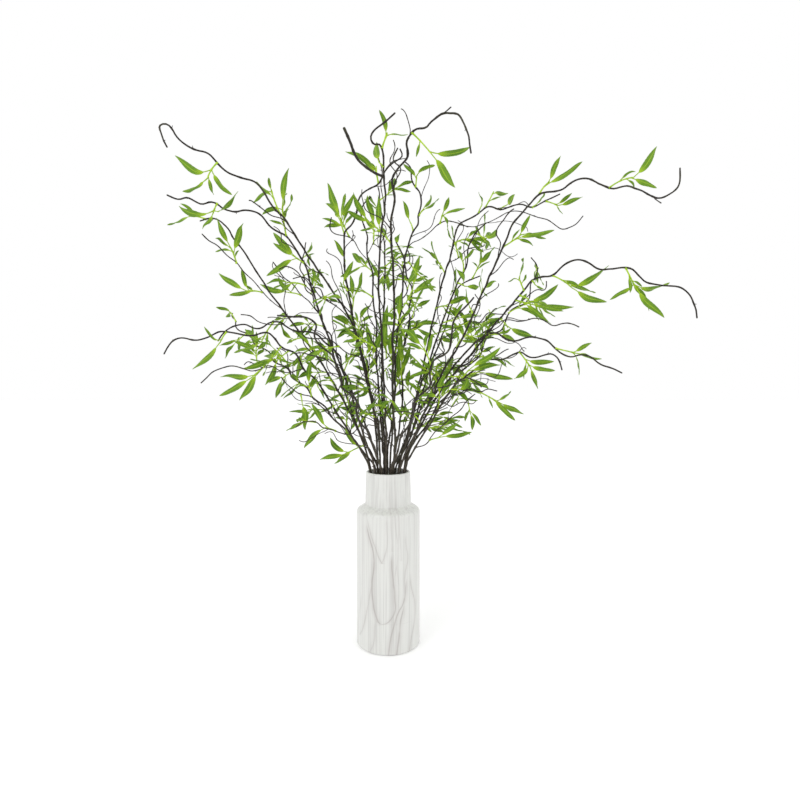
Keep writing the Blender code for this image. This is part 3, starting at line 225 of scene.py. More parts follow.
# Stems that the picture shows: how far in front of the axis the tip is, and the route in pixels
SEEN_STEMS = (
    ("left_high", 0.285, (
        (376, 427), (370, 389), (362, 352), (352, 321), (341, 303), (328, 284), (314, 264),
        (301, 245), (292, 231), (284, 217), (271, 206), (262, 188), (254, 181), (240, 178),
        (226, 172), (217, 162), (208, 152), (195, 150), (183, 144), (177, 137), (173, 129),
        (167, 123), (160, 124), (160, 131), (163, 139), (167, 147))),
    ("left_middle", 0.235, (
        (360, 436), (346, 396), (338, 372), (331, 345), (324, 325), (316, 303), (311, 286),
        (307, 268), (297, 251), (287, 235), (276, 232), (267, 223), (259, 213), (245, 209),
        (234, 213), (225, 210), (217, 203), (210, 201), (202, 205), (195, 201), (187, 197),
        (178, 200), (167, 195))),
    ("left_low", 0.12, (
        (357, 426), (341, 396), (330, 377), (317, 356), (303, 338), (292, 322), (282, 309),
        (265, 285), (251, 263), (238, 244), (231, 236), (228, 227), (221, 221), (212, 218),
        (200, 221))),
    ("left_droop", 0.20, (
        (354, 440), (335, 410), (317, 381), (309, 374), (303, 369), (300, 359), (293, 352),
        (282, 348), (274, 338), (267, 331), (252, 336), (239, 334), (222, 331), (214, 334),
        (206, 338), (195, 341), (182, 337), (174, 340), (168, 346), (164, 354))),
    ("left_arch", 0.13, (
        (365, 440), (353, 400), (343, 372), (335, 350), (325, 343), (318, 334), (306, 332),
        (294, 331), (286, 326), (281, 322), (271, 322), (261, 329), (252, 327), (242, 324),
        (230, 327), (222, 335), (218, 341))),
    ("right_high", 0.235, (
        (412, 441), (423, 415), (434, 392), (445, 367), (457, 349), (466, 333), (473, 314),
        (481, 295), (490, 276), (506, 240), (511, 225), (519, 216), (528, 207), (536, 196),
        (542, 192), (560, 192), (572, 181), (585, 177), (599, 183), (609, 190), (628, 185),
        (641, 190), (650, 196), (661, 199), (674, 193), (681, 182), (680, 168))),
    ("right_middle", 0.222, (
        (409, 448), (425, 418), (436, 398), (449, 379), (462, 364), (474, 352), (486, 335),
        (494, 325), (504, 314), (515, 300), (525, 290), (531, 280), (541, 277), (553, 277),
        (563, 265), (576, 259), (588, 262), (599, 271), (612, 268), (626, 267), (637, 273),
        (648, 285), (664, 285), (680, 286), (691, 295), (695, 307), (697, 318))),
    ("right_low", 0.17, (
        (412, 454), (431, 422), (445, 399), (452, 388), (462, 378), (477, 370), (484, 360),
        (492, 359), (504, 360), (513, 354), (521, 351), (528, 357), (536, 358), (544, 355),
        (552, 353), (559, 358), (562, 370))),
    ("right_reach", 0.21, (
        (416, 430), (428, 405), (442, 382), (462, 355), (480, 338), (496, 331), (504, 339),
        (516, 342), (527, 336), (538, 338), (547, 340), (555, 348), (562, 354), (571, 357),
        (581, 354), (592, 357), (599, 364), (610, 367), (622, 373))),
    ("right_inner", 0.04, (
        (406, 440), (415, 400), (425, 360), (433, 320), (440, 290), (446, 270), (452, 252),
        (457, 224), (468, 220), (479, 213), (488, 205), (500, 211), (510, 206), (520, 203),
        (532, 209), (544, 202), (560, 194))),
    ("top_hook", 0.35, (
        (396, 440), (392, 400), (393, 366), (392, 340), (394, 322), (394, 302), (394, 276),
        (392, 251), (391, 236), (390, 222), (393, 210), (395, 198), (392, 187), (392, 178),
        (397, 169), (405, 161), (409, 154), (407, 147), (406, 140), (410, 134), (416, 129),
        (427, 129), (430, 122), (437, 117), (446, 112), (455, 113), (463, 120), (468, 132),
        (470, 144), (471, 153))),
    ("top_left", 0.18, (
        (380, 440), (369, 390), (358, 340), (350, 300), (344, 270), (344, 239), (345, 231),
        (354, 223), (357, 209), (358, 202), (362, 194), (370, 189), (379, 184), (383, 174),
        (387, 167), (395, 161), (403, 156), (400, 149))),
    ("top_curl", 0.34, (
        (386, 430), (384, 380), (381, 330), (378, 280), (381, 230), (386, 200), (383, 176),
        (384, 160), (381, 143), (374, 145), (370, 138), (374, 130), (384, 123), (395, 113))),
    ("top_right", 0.11, (
        (395, 396), (395, 366), (397, 334), (399, 322), (402, 308), (403, 289), (403, 271),
        (405, 257), (409, 243), (413, 231), (418, 224),
        (419, 214), (422, 202), (420, 192), (415, 187), (411, 180), (411, 168), (404, 161))),
    ("centre_left", 0.10, (
        (379, 396), (378, 379), (376, 366), (377, 328), (375, 315), (373, 302),
        (373, 289), (373, 271), (369, 264), (366, 255), (368, 241), (367, 235), (363, 224),
        (361, 213), (363, 204), (371, 197))),
    ("centre_grey", -0.04, (
        (384, 440), (382, 396), (382, 366), (382, 340), (383, 322), (384, 302), (384, 283),
        (385, 264), (385, 248), (382, 226), (383, 216), (379, 207), (380, 195), (378, 187))),
    ("centre_bent", 0.05, (
        (398, 440), (403, 396), (401, 366), (403, 350), (407, 335), (410, 318), (408, 311),
        (411, 299), (413, 288), (407, 279), (406, 271), (405, 262), (401, 251), (396, 242))),
    ("right_wavy", 0.09, (
        (407, 440), (414, 410), (422, 379), (429, 363), (438, 334), (445, 315), (453, 294),
        (458, 282), (464, 271), (468, 261), (468, 248), (472, 240), (477, 231), (486, 223))),
    ("right_short", 0.0, (
        (411, 440), (420, 400), (429, 370), (435, 353), (442, 338), (447, 322), (450, 311),
        (455, 297), (457, 289), (463, 283), (471, 279), (480, 276))),
)
SEEN_NAMES = {name for name, _, _ in SEEN_STEMS}

# Their branches that the picture shows: the stem, the tip's place in front of the axis, and the route.
SEEN_BRANCHES = (
    ("left_low", 0.16, (
        (282, 309), (263, 294), (256, 283), (243, 272), (236, 262), (225, 255), (218, 245),
        (209, 241), (202, 234))),
    ("left_middle", 0.10, (
        (320, 315), (311, 303), (300, 295), (294, 284), (283, 278), (278, 269), (273, 262))),
    ("left_droop", 0.24, (
        (303, 369), (293, 372), (281, 372), (268, 364), (254, 372), (244, 369), (234, 365),
        (222, 368), (212, 372), (206, 378), (201, 383))),
    ("left_droop", 0.10, (
        (338, 415), (326, 410), (319, 405), (312, 396), (300, 394), (290, 388), (281, 377))),
    ("left_low", 0.16, (
        (358, 428), (350, 436), (336, 431), (323, 428), (316, 421), (304, 421), (296, 427))),
    ("right_inner", 0.10, (
        (457, 224), (470, 227), (485, 224), (498, 218), (510, 211), (522, 211), (532, 215),
        (548, 220), (555, 225), (564, 231), (576, 225), (583, 216))),
    ("right_reach", 0.26, (
        (480, 338), (492, 326), (506, 319), (520, 322), (534, 318), (544, 320), (553, 327),
        (563, 322), (572, 323), (579, 327))),
    ("right_low", 0.06, (
        (445, 399), (460, 393), (468, 389), (480, 393), (487, 389), (497, 391))),
    ("right_low", 0.10, (
        (416, 447), (428, 444), (431, 435), (444, 425), (451, 416), (461, 410), (466, 401),
        (475, 394))),
    ("top_right", 0.10, (
        (405, 257), (410, 243), (420, 240), (430, 233), (439, 223), (450, 220), (458, 223),
        (468, 227))),
    ("top_curl", 0.38, (
        (383, 176), (368, 169), (358, 161), (353, 151), (349, 140), (344, 128))),
    ("top_hook", 0.32, (
        (443, 113), (451, 107))),
    ("right_high", 0.24, (
        (652, 197), (661, 203))),
)

# Leafy sprigs that the picture shows: the stem, the pixels of the twig's foot and end, and the pixels of
# its leaves' tips, from the leaf at the twig's end backwards.
SEEN_SPRIGS = (
    ("left_high", (217, 163), (208, 171), ((182, 191), (169, 155), (214, 195), (212, 144), (232, 195))),
    ("left_middle", (217, 204), (213, 211), ((203, 229), (179, 206), (239, 191))),
    ("left_low", (207, 219), (190, 213), ((160, 205), (167, 225), (151, 213))),
    ("left_low", (237, 262), (232, 246), ((216, 218), (243, 223), (215, 239))),
    ("left_middle", (287, 235), (281, 208), ((290, 168), (287, 193), (262, 215), (292, 194))),
    ("left_high", (280, 214), (263, 192), ((244, 191), (268, 178), (253, 203), (257, 181))),
    ("left_middle", (305, 263), (295, 257), ((273, 243), (263, 222), (266, 275))),
    ("left_middle", (301, 295), (290, 291), ((260, 284), (278, 277))),
    ("left_low", (261, 293), (247, 288), ((218, 272), (229, 295), (241, 268))),
    ("left_droop", (227, 332), (219, 341), ((189, 374), (204, 326), (184, 334))),
    ("left_arch", (273, 322), (259, 340), ((234, 353), (249, 362), (245, 329))),
    ("left_droop", (280, 347), (274, 354), ((250, 359), (294, 363), (264, 356))),
    ("left_droop", (289, 350), (278, 359), ((265, 385), (234, 369), (284, 366))),
    ("left_droop", (264, 366), (252, 376), ((209, 401), (214, 379), (238, 402))),
    ("left_low", (312, 349), (304, 351), ((287, 348), (296, 380), (292, 366))),
    ("left_low", (303, 338), (295, 338), ((279, 331), (287, 344), (281, 321))),
    ("left_droop", (312, 396), (310, 386), ((311, 359), (294, 389))),
    ("left_droop", (300, 394), (303, 402), ((306, 430),)),
    ("left_droop", (316, 380), (319, 386), ((325, 399),)),
    ("left_low", (316, 421), (310, 422), ((286, 431), (297, 419))),
    ("left_low", (336, 431), (328, 427), ((304, 448), (311, 404))),
    ("left_low", (361, 446), (346, 452), ((320, 460), (330, 438), (334, 463), (345, 428))),
    ("left_droop", (335, 411), (333, 404), ((333, 384),)),
    ("left_middle", (349, 405), (347, 398), ((348, 374),)),
    ("right_high", (540, 193), (547, 179), ((567, 134), (561, 156), (584, 161))),
    ("right_high", (608, 189), (630, 171), ((659, 145), (677, 170), (657, 188))),
    ("right_inner", (546, 202), (558, 204), ((583, 198), (572, 193), (563, 214))),
    ("right_inner", (532, 209), (536, 204), ((545, 193),)),
    ("right_high", (503, 247), (522, 236), ((546, 238), (530, 215), (554, 229))),
    ("right_inner", (485, 207), (494, 192), ((496, 166), (508, 193))),
    ("right_inner", (500, 211), (505, 204), ((515, 195),)),
    ("right_inner", (479, 213), (481, 205), ((479, 192),)),
    ("right_wavy", (476, 233), (481, 236), ((497, 229), (486, 249))),
    ("right_short", (472, 279), (479, 266), ((495, 247), (484, 249), (472, 262))),
    ("right_wavy", (463, 272), (464, 265), ((475, 249), (457, 250))),
    ("right_wavy", (458, 283), (464, 285), ((480, 285), (455, 266))),
    ("right_high", (473, 314), (470, 308), ((466, 289),)),
    ("right_middle", (524, 291), (519, 279), ((524, 257), (508, 282))),
    ("right_middle", (532, 280), (535, 284), ((544, 289),)),
    ("right_middle", (554, 277), (575, 284), ((625, 311), (612, 265), (605, 296))),
    ("right_middle", (625, 268), (635, 287), ((669, 326), (672, 283), (610, 300), (650, 316))),
    ("right_low", (520, 352), (530, 365), ((538, 389), (555, 371), (514, 379), (554, 362))),
    ("right_reach", (555, 348), (575, 353), ((602, 358), (592, 343), (579, 375), (597, 374))),
    ("right_low", (480, 393), (499, 402), ((524, 414), (511, 391), (515, 421))),
    ("right_low", (430, 441), (440, 437), ((472, 432), (460, 420))),
    ("right_high", (470, 321), (465, 323), ((441, 329),)),
    ("right_reach", (489, 334), (496, 334), ((516, 341), (511, 328))),
    ("right_middle", (499, 318), (510, 325), ((541, 314), (541, 341))),
    ("right_middle", (515, 300), (536, 305), ((575, 307), (558, 284), (563, 312), (557, 327))),
    ("right_middle", (520, 295), (528, 298), ((545, 281), (538, 313))),
    ("right_high", (464, 336), (471, 335), ((489, 333), (484, 325))),
    ("right_low", (462, 378), (471, 369), ((501, 345), (501, 366))),
    ("right_low", (470, 373), (479, 372), ((513, 379),)),
    ("right_low", (452, 390), (458, 389), ((468, 376),)),
    ("top_left", (344, 234), (339, 220), ((326, 179), (345, 193), (325, 204))),
    ("top_hook", (392, 244), (371, 218), ((354, 192), (347, 211), (368, 195), (378, 195), (360, 230))),
    ("top_curl", (382, 148), (387, 133), ((405, 98), (379, 110), (408, 135))),
    ("top_curl", (383, 168), (380, 162), ((377, 142),)),
    ("top_left", (379, 183), (374, 166), ((348, 126), (345, 152), (357, 154))),
    ("top_hook", (412, 133), (433, 152), ((465, 198), (470, 147), (463, 182), (416, 157))),
    ("top_right", (416, 187), (417, 177), ((434, 165), (404, 163))),
    ("top_right", (419, 216), (422, 210), ((431, 194), (439, 198))),
    ("top_right", (413, 231), (411, 221), ((402, 201),)),
    ("top_right", (440, 223), (442, 216), ((449, 197), (465, 208), (448, 230))),
    ("top_right", (402, 309), (414, 291), ((420, 255), (441, 272), (436, 287), (427, 271))),
    ("top_left", (344, 266), (345, 260), ((334, 240),)),
    ("top_left", (348, 291), (344, 284), ((353, 261),)),
    ("top_left", (352, 310), (355, 297), ((350, 275), (362, 272), (345, 290))),
    ("centre_grey", (384, 290), (384, 282), ((366, 256), (392, 262))),
    ("top_hook", (393, 366), (391, 352), ((387, 318), (395, 330), (380, 340))),
    ("centre_bent", (402, 380), (400, 366), ((402, 330), (410, 345), (392, 352))),
    ("top_right", (395, 390), (398, 382), ((398, 352), (388, 368))),
    ("right_wavy", (416, 402), (424, 397), ((450, 377), (440, 402))),
    ("centre_grey", (383, 350), (384, 338), ((388, 305), (376, 318))),
    ("centre_left", (376, 366), (372, 356), ((366, 325), (380, 330))),
)

# Stems that the picture hides in part or in full: azimuth and lean in degrees, and length
HIDDEN_STEMS = (
    (18, 33, 0.66), (52, 40, 0.66), (78, 20, 0.63), (108, 37, 0.61), (138, 26, 0.66), (165, 40, 0.57),
    (248, 38, 0.50), (290, 42, 0.50),
)


def even(points, step=GRAIN):
    """Evenly spaced points along a polyline."""
    points = np.asarray(points, float)
    along = np.concatenate([[0], np.cumsum(np.linalg.norm(np.diff(points, axis=0), axis=1))])
    wanted = np.linspace(0, along[-1], max(3, round(along[-1] / step) + 1))
    return np.stack([np.interp(wanted, along, points[:, k]) for k in range(3)], axis=1)


def rounded(points, times=3):
    """The polyline with its corners cut again and again, which keeps its two ends."""
    points = np.asarray(points, float)
    for _ in range(times):
        near = 0.75 * points[:-1] + 0.25 * points[1:]
        far = 0.25 * points[:-1] + 0.75 * points[1:]
        middle = np.stack([near, far], axis=1).reshape(-1, 3)
        points = np.concatenate([points[:1], middle, points[-1:]])
    return points


def unit(vector):
    return vector / np.linalg.norm(vector)


def seen_at(pixel, forward):
    """The real place of a pixel of the picture that lies `forward` in front of the vase's axis."""
    across = (pixel[0] - PICTURE_MIDDLE_PX) / VIEW_FOCAL_PX
    up = (PICTURE_MIDDLE_PX - pixel[1]) / VIEW_FOCAL_PX
    ray = np.array([across,
                    math.cos(VIEW_PITCH) + up * math.sin(VIEW_PITCH),
                    up * math.cos(VIEW_PITCH) - math.sin(VIEW_PITCH)])
    eye = np.array([VIEW_ACROSS, -VIEW_BACK, VIEW_HEIGHT])
    return eye + ray * (VIEW_BACK - forward) / ray[1]


def seen_route(pixels, start_forward, tip_forward, bend=1.0):
    """Real places along a route in the picture that comes forward from its start to its tip."""
    pixels = np.asarray(pixels, float)
    along = np.concatenate([[0], np.cumsum(np.linalg.norm(np.diff(pixels, axis=0), axis=1))])
    share = (along / along[-1]) ** bend
    return np.array([seen_at(p, start_forward + (tip_forward - start_forward) * s)
                     for p, s in zip(pixels, share)])


def walk(start, heading, length, pull, sway, rng):
    """A curly centre line that sets off along heading, drifts towards pull and hooks over at its tip."""
    aside = unit(np.cross(heading, ODD_DIRECTION))
    above = np.cross(aside, heading)
    waves = [(rng.uniform(*WAVE_LENGTH), rng.uniform(0, 2 * math.pi)) for _ in range(2)]
    turn = rng.uniform(0, 2 * math.pi)
    hook_to = math.cos(turn) * aside + math.sin(turn) * above
    steps = max(4, round(length / GRAIN))
    points = [np.asarray(start, float)]
    for k in range(steps):
        share = (k + 1) / steps
        along = share * length
        swing = [math.sin(2 * math.pi * along / wave + phase) for wave, phase in waves]
        grown = sway * min(1.0, 1.6 * share)
        curl = HOOK * max(0.0, share - 1 + HOOKED_SHARE) / HOOKED_SHARE
        way = heading + pull * share + grown * (swing[0] * aside + swing[1] * above) + curl * hook_to
        points.append(points[-1] + unit(way) * GRAIN)
    return np.array(points)


class Room:
    """The space that is taken already, as balls along everything that has grown so far."""

    def __init__(self):
        self.places = np.empty((0, 3))
        self.radii = np.empty(0)
        self.owners = np.empty(0, int)

    def take(self, line, radii, owner):
        self.places = np.concatenate([self.places, line])
        self.radii = np.concatenate([self.radii, radii])
        self.owners = np.concatenate([self.owners, np.full(len(line), owner)])

    def clear(self, line, radii, parent=-1, root=0.0):
        """Whether a line is inside the outline and clear of all but its parent near its start."""
        if (line[:, 0].min() < LEFTMOST or line[:, 0].max() > RIGHTMOST or line[:, 2].max() > HIGHEST
                or line[:, 1].min() < FURTHEST_FRONT or line[:, 1].max() > FURTHEST_BACK):
            return False
        reach = radii.max() + NEIGHBOURHOOD
        low, high = line.min(axis=0) - reach, line.max(axis=0) + reach
        near = ((self.places > low) & (self.places < high)).all(axis=1)
        if not near.any():
            return True
        gaps = np.linalg.norm(line[:, None] - self.places[near][None], axis=2)
        gaps -= radii[:, None] + self.radii[near][None]
        young = np.linalg.norm(line - line[0], axis=1) < root
        gaps[np.ix_(young, self.owners[near] == parent)] = 1.0
        return gaps.min() > ROOM_GAP


class Leaf:
    """A narrow pointed blade: its centre line, the direction of its width, and its widest width."""

    kind = "leaf"

    def __init__(self, line, side, width):
        self.line, self.side, self.width = line, side, width

    def radii(self):
        """Half the width along the length: a slim foot, a full middle and a long point."""
        shares, fullness = zip((0.0, LEAF_FOOT), *LEAF_RINGS, (1.0, 0.0))
        return self.width / 2 * np.interp(np.linspace(0, 1, len(self.line)), shares, fullness)

    def foot_way(self):
        """The direction of the leaf's slim foot, up to its first full ring."""
        return unit(self.line[round(LEAF_RINGS[0][0] * (len(self.line) - 1))] - self.line[0])


class Shoot:
    """A stem, branch or sprig: a tapering centre line, and what grows from it at a distance along it.
    A sprig's normal is the way that its leaves face."""

    def __init__(self, kind, line, taper, number):
        self.kind, self.line, self.taper, self.number = kind, line, taper, number
        self.length = GRAIN * (len(line) - 1)
        self.children = []
        self.end_leaf = None
        self.normal = ODD_DIRECTION[::-1]

    def radius(self, along):
        return self.taper[0] + (self.taper[1] - self.taper[0]) * along / self.length

    def radii(self):
        return np.array([self.radius(GRAIN * k) for k in range(len(self.line))])

    def at(self, along):
        """The centre line's place and direction at a distance along it."""
        k = int(min(max(round(along / GRAIN), 1), len(self.line) - 2))
        return self.line[k], unit(self.line[k + 1] - self.line[k - 1])

    def spare(self, along):
        """Whether nothing grows near this place yet."""
        inside = CHILD_SPACING / 2 < along < self.length - CHILD_SPACING
        return inside and all(abs(along - other) > CHILD_SPACING for other, _ in self.children)


class Willow:
    """Grows the stems one after another, each clear of all that has grown before it."""

    def __init__(self):
        self.rng = random.Random(SEED)
        self.room = Room()
        self.stems = {}
        self.count = 0

    def new_shoot(self, kind, line, taper):
        line = even(line)
        shoot = Shoot(kind, line, taper, self.count)
        self.count += 1
        self.room.take(shoot.line, shoot.radii(), shoot.number)
        return shoot

    def add_branch(self, parent, along, line):
        """A branch along a line, if it is clear of all the rest."""
        start = BRANCH_SHARE * parent.radius(along)
        if not self.room.clear(line, np.full(len(line), start), parent.number, ROOT_REACH["branch"]):
            return False
        branch = self.new_shoot("branch", line, (start, BRANCH_TIP_RADIUS))
        parent.children.append((along, branch))
        return True

    def plan(self):
        """Every stem's name, a point that it leans towards, and what its line is drawn from."""
        plans = []
        for name, forward, pixels in SEEN_STEMS:
            route = seen_route(pixels, 0.0, forward)
            plans.append((name, route[len(route) // 3], (pixels, forward)))
        for k, (azimuth, lean, length) in enumerate(HIDDEN_STEMS):
            around, tilt = math.radians(azimuth), math.radians(lean)
            outward = np.array([math.cos(around), math.sin(around), 0.0])
            heading = math.sin(tilt) * outward - math.cos(tilt) * DOWN
            plans.append((f"hidden_{k + 1}", heading - VASE_HEIGHT * DOWN, (heading, length)))
        return plans

    def places_in_mouth(self, plans):
        """A place in the mouth for every stem: those that lean most stand furthest out on their side."""
        def lean(plan):
            return math.hypot(plan[1][0], plan[1][1]) / (plan[1][2] - VASE_HEIGHT)

        def azimuth(plan):
            return math.atan2(plan[1][1], plan[1][0])

        waiting = sorted(plans, key=lean, reverse=True)
        places = {}
        for count, radius in MOUTH_RINGS:
            ring, waiting = sorted(waiting[:count], key=azimuth), waiting[count:]
            spread = [azimuth(p) - 2 * math.pi * k / len(ring) for k, p in enumerate(ring)]
            turn = math.atan2(sum(map(math.sin, spread)), sum(map(math.cos, spread)))
            for k, plan in enumerate(ring):
                around = turn + 2 * math.pi * k / len(ring)
                places[plan[0]] = (radius, around)
        return places

    def stem_lines(self, plan, place):
        """Centre lines to try for one stem, best first."""
        radius, around = place
        foot_around = around + FOOT_TURN
        foot = [radius * math.cos(foot_around), radius * math.sin(foot_around), FLOOR + FOOT_GAP]
        mouth = [radius * math.cos(around), radius * math.sin(around), VASE_HEIGHT + MOUTH_RISE]
        inside = [np.array(foot), np.array(foot) * 0.3 + np.array(mouth) * 0.7, np.array(mouth)]
        name, _, (first, second) = plan
        if name.startswith("hidden"):
            for sway in STEM_SWAYS:
                pull = np.array([first[0], first[1], 0.0]) * STEM_SPREAD + DOWN * STEM_SAG
                yield np.concatenate([even(inside), walk(mouth, first, second, pull, sway, self.rng)[1:]])
        else:
            for shift in FORWARD_SHIFTS:
                for bend in FORWARD_BENDS:
                    route = seen_route(first, -mouth[1], second + shift, bend)
                    yield rounded([*inside, *route])

    def grow_stems(self):
        plans = self.plan()
        places = self.places_in_mouth(plans)
        for plan in plans:
            radius = STEM_RADIUS[0] * (THICKER if plan[0] == THICK_STEM else 1.0)
            for line in self.stem_lines(plan, places[plan[0]]):
                line = even(line)
                if self.room.clear(line, np.full(len(line), radius)):
                    self.stems[plan[0]] = self.new_shoot("stem", line, (radius, STEM_RADIUS[1]))
                    break

    def shoots_of(self, stem):
        """A stem and its branches."""
        return [stem, *[child for _, child in stem.children if child.kind == "branch"]]

    def nearest(self, stem, pixel):
        """The shoot of a stem that passes nearest a pixel, and how far along it that is."""
        eye = np.array([VIEW_ACROSS, -VIEW_BACK, VIEW_HEIGHT])
        ray = unit(seen_at(pixel, 0.0) - eye)
        best = None
        for shoot in self.shoots_of(stem):
            away = np.linalg.norm(np.cross(shoot.line - eye, ray), axis=1)
            k = int(away.argmin())
            if best is None or away[k] < best[0]:
                best = (away[k], shoot, k * GRAIN)
        return best[1], best[2]

    def grow_seen_branches(self):
        for name, forward, pixels in SEEN_BRANCHES:
            stem = self.stems[name]
            shoot, along = self.nearest(stem, pixels[0])
            for slide in SLIDES:
                if shoot.spare(along + slide):
                    along += slide
                    break
            start, _ = shoot.at(along)
            for shift in FORWARD_SHIFTS:
                route = seen_route(pixels, -start[1], forward + shift)
                if self.add_branch(shoot, along, even(rounded([start, *route[1:]]))):
                    break

    def grow_other_branches(self):
        """Side branches on every stem until it has enough, spaced out above the mouth."""
        for stem in self.stems.values():
            above_mouth = stem.length - VASE_HEIGHT
            reach = BRANCHES_TO - BRANCHES_FROM
            missing = BRANCHES_PER_STEM - sum(child.kind == "branch" for _, child in stem.children)
            for k in range(missing):
                for _ in range(BRANCH_TRIES):
                    share = BRANCHES_FROM + reach * (k + self.rng.random()) / missing
                    along = VASE_HEIGHT + share * above_mouth
                    if not stem.spare(along):
                        continue
                    start, way = stem.at(along)
                    outward = unit(np.array([start[0], start[1], 0.0]) + 1e-6)
                    aside = np.array([self.rng.gauss(0, 1) for _ in range(3)]) + outward * 0.6
                    aside = unit(aside - way * (aside @ way))
                    angle = math.radians(self.rng.uniform(*BRANCH_ANGLE))
                    heading = way * math.cos(angle) + aside * math.sin(angle)
                    length = self.rng.uniform(*BRANCH_LENGTH) * (1.15 - 0.5 * share)
                    pull = outward * BRANCH_SPREAD
                    line = walk(start, heading, length, pull, BRANCH_SWAY, self.rng)
                    if self.add_branch(stem, along, even(line)):
                        break

    def leaf(self, start, way, normal, length):
        """A blade that sets off along `way`, faces `normal` and arches over."""
        steps = round(length / GRAIN)
        droop = self.rng.uniform(*LEAF_DROOP)
        curl = self.rng.uniform(-LEAF_CURL, LEAF_CURL)
        across = unit(np.cross(normal, way))
        points = [start]
        for k in range(steps):
            share = (k + 1) / steps
            points.append(points[-1] + unit(way + droop * share * DOWN + curl * share * across) * GRAIN)
        return Leaf(np.array(points), across, length * LEAF_SLENDERNESS * self.rng.uniform(0.88, 1.1))

    def sits_well(self, leaf, way, at_end, others):
        """Whether a leaf sets off ahead along its twig, and on another side than those beside it."""
        foot = leaf.foot_way()
        least, most = END_LEAN if at_end else PAIR_LEAN
        if not least < foot @ way < most:
            return False
        aside = unit(foot - way * (foot @ way))
        return all(aside @ unit(other - way * (other @ way)) < CLOSEST_PAIR
                   for other in (leaf.foot_way() for leaf in others))

    def leaf_facing(self, heading, way, normal, roll_range):
        """Which way a leaf faces: as its twig's normal, but rolled towards the twig."""
        outward = unit(np.cross(normal, way))
        outward *= math.copysign(1.0, heading @ outward)
        roll = self.rng.uniform(*roll_range)
        facing = unit(normal + roll * outward + self.rng.uniform(*LEAF_PITCH) * way)
        return unit(facing - heading * (facing @ heading))

    def leaf_to(self, start, way, normal, pixel, roll_range):
        """A blade that curves away from its twig until its tip is seen at a pixel of the picture."""
        least = self.rng.uniform(*LEAF_LENGTH)
        flat = np.linalg.norm(seen_at(pixel, -start[1]) - start)
        slant = math.sqrt(max(0.0, least ** 2 - flat ** 2)) * self.rng.uniform(-1, 1)
        forward = slant + self.rng.uniform(-1, 1) * LEAF_SLANT * flat
        chord = seen_at(pixel, forward - start[1]) - start
        length = min(np.linalg.norm(chord), LONGEST_LEAF)
        towards = unit(chord)
        turned = self.rng.uniform(*LEAF_BEND) + max(0.0, PAIR_LEAN[0] - towards @ way)
        heading = unit(towards + turned * way)
        shares = np.linspace(0, 1, 13)[:, None]
        bend = start + heading * length / 2
        tip = start + towards * length
        line = even((1 - shares) ** 2 * start + 2 * shares * (1 - shares) * bend + shares ** 2 * tip)
        facing = self.leaf_facing(heading, way, normal, roll_range)
        width = min(length, LEAF_LENGTH[1]) * LEAF_SLENDERNESS * self.rng.uniform(0.88, 1.1)
        return Leaf(line, unit(np.cross(facing, heading)), width)

    def grow_leaves(self, twig, leaves, tips=()):
        """A leaf at a twig's end, and pairs behind it. They reach for the tips that the picture shows,
        or else one of each pair goes to the left and one to the right."""
        side = self.rng.choice((-1, 1))
        rows = [[] for _ in range(leaves + 1)]
        for k in range(leaves):
            at_end = k == 0
            roll_range = END_LEAF_ROLL if at_end else LEAF_ROLL
            for attempt in range(SEEN_LEAF_TRIES if tips else LEAF_TRIES):
                further_back = attempt % 2 if tips and not at_end else 0
                row = (k + 1) // 2 + further_back
                along = twig.length if at_end else twig.length - LAST_PAIR - (row - 1) * PAIR_SPACING
                if along < SHORTEST_TWIG or len(rows[row]) == 2:
                    continue
                start, way = twig.at(along)
                if at_end:
                    start = twig.line[-1]
                if tips:
                    leaf = self.leaf_to(start, way, twig.normal, tips[k], roll_range)
                else:
                    outward = side * unit(np.cross(twig.normal, way))
                    spread = math.radians(END_LEAF_ANGLE if at_end else self.rng.uniform(*LEAF_ANGLE))
                    lift = self.rng.uniform(*LEAF_LIFT)
                    heading = unit(way * math.cos(spread) + outward * math.sin(spread) + lift * twig.normal)
                    facing = self.leaf_facing(heading, way, twig.normal, roll_range)
                    size = self.rng.uniform(*LEAF_LENGTH) * (1 - LEAF_SHRINK * k)
                    leaf = self.leaf(start, heading, facing, size)
                line, radii = leaf.line, leaf.radii()
                if (self.sits_well(leaf, way, at_end, rows[row])
                        and self.room.clear(line[1:], radii[1:], twig.number, ROOT_REACH["leaf"])):
                    self.room.take(line, radii, twig.number)
                    rows[row].append(leaf)
                    if at_end:
                        twig.end_leaf = leaf
                    else:
                        twig.children.append((along, leaf))
                    break
            side = -side

    def grow_sprig(self, parent, along, way, normal, length, leaves, tips=()):
        """A green twig with its leaves, which face `normal`, if there is room for it."""
        start, _ = parent.at(along)
        normal = unit(normal - way * (normal @ way))
        sag = self.rng.uniform(0.1, 0.5)
        bow = self.rng.uniform(-0.4, 0.4)
        drift = sag * DOWN + bow * np.cross(normal, way)
        points = [start]
        for k in range(round(length / GRAIN)):
            share = k * GRAIN / length
            points.append(points[-1] + unit(way + share * drift) * GRAIN)
        line = even(points)
        if not self.room.clear(line, np.full(len(line), TWIG_ROOM), parent.number, ROOT_REACH["sprig"]):
            return False
        twig = self.new_shoot("sprig", line, TWIG_RADIUS)
        twig.normal = normal
        parent.children.append((along, twig))
        self.grow_leaves(twig, leaves, tips)
        return True

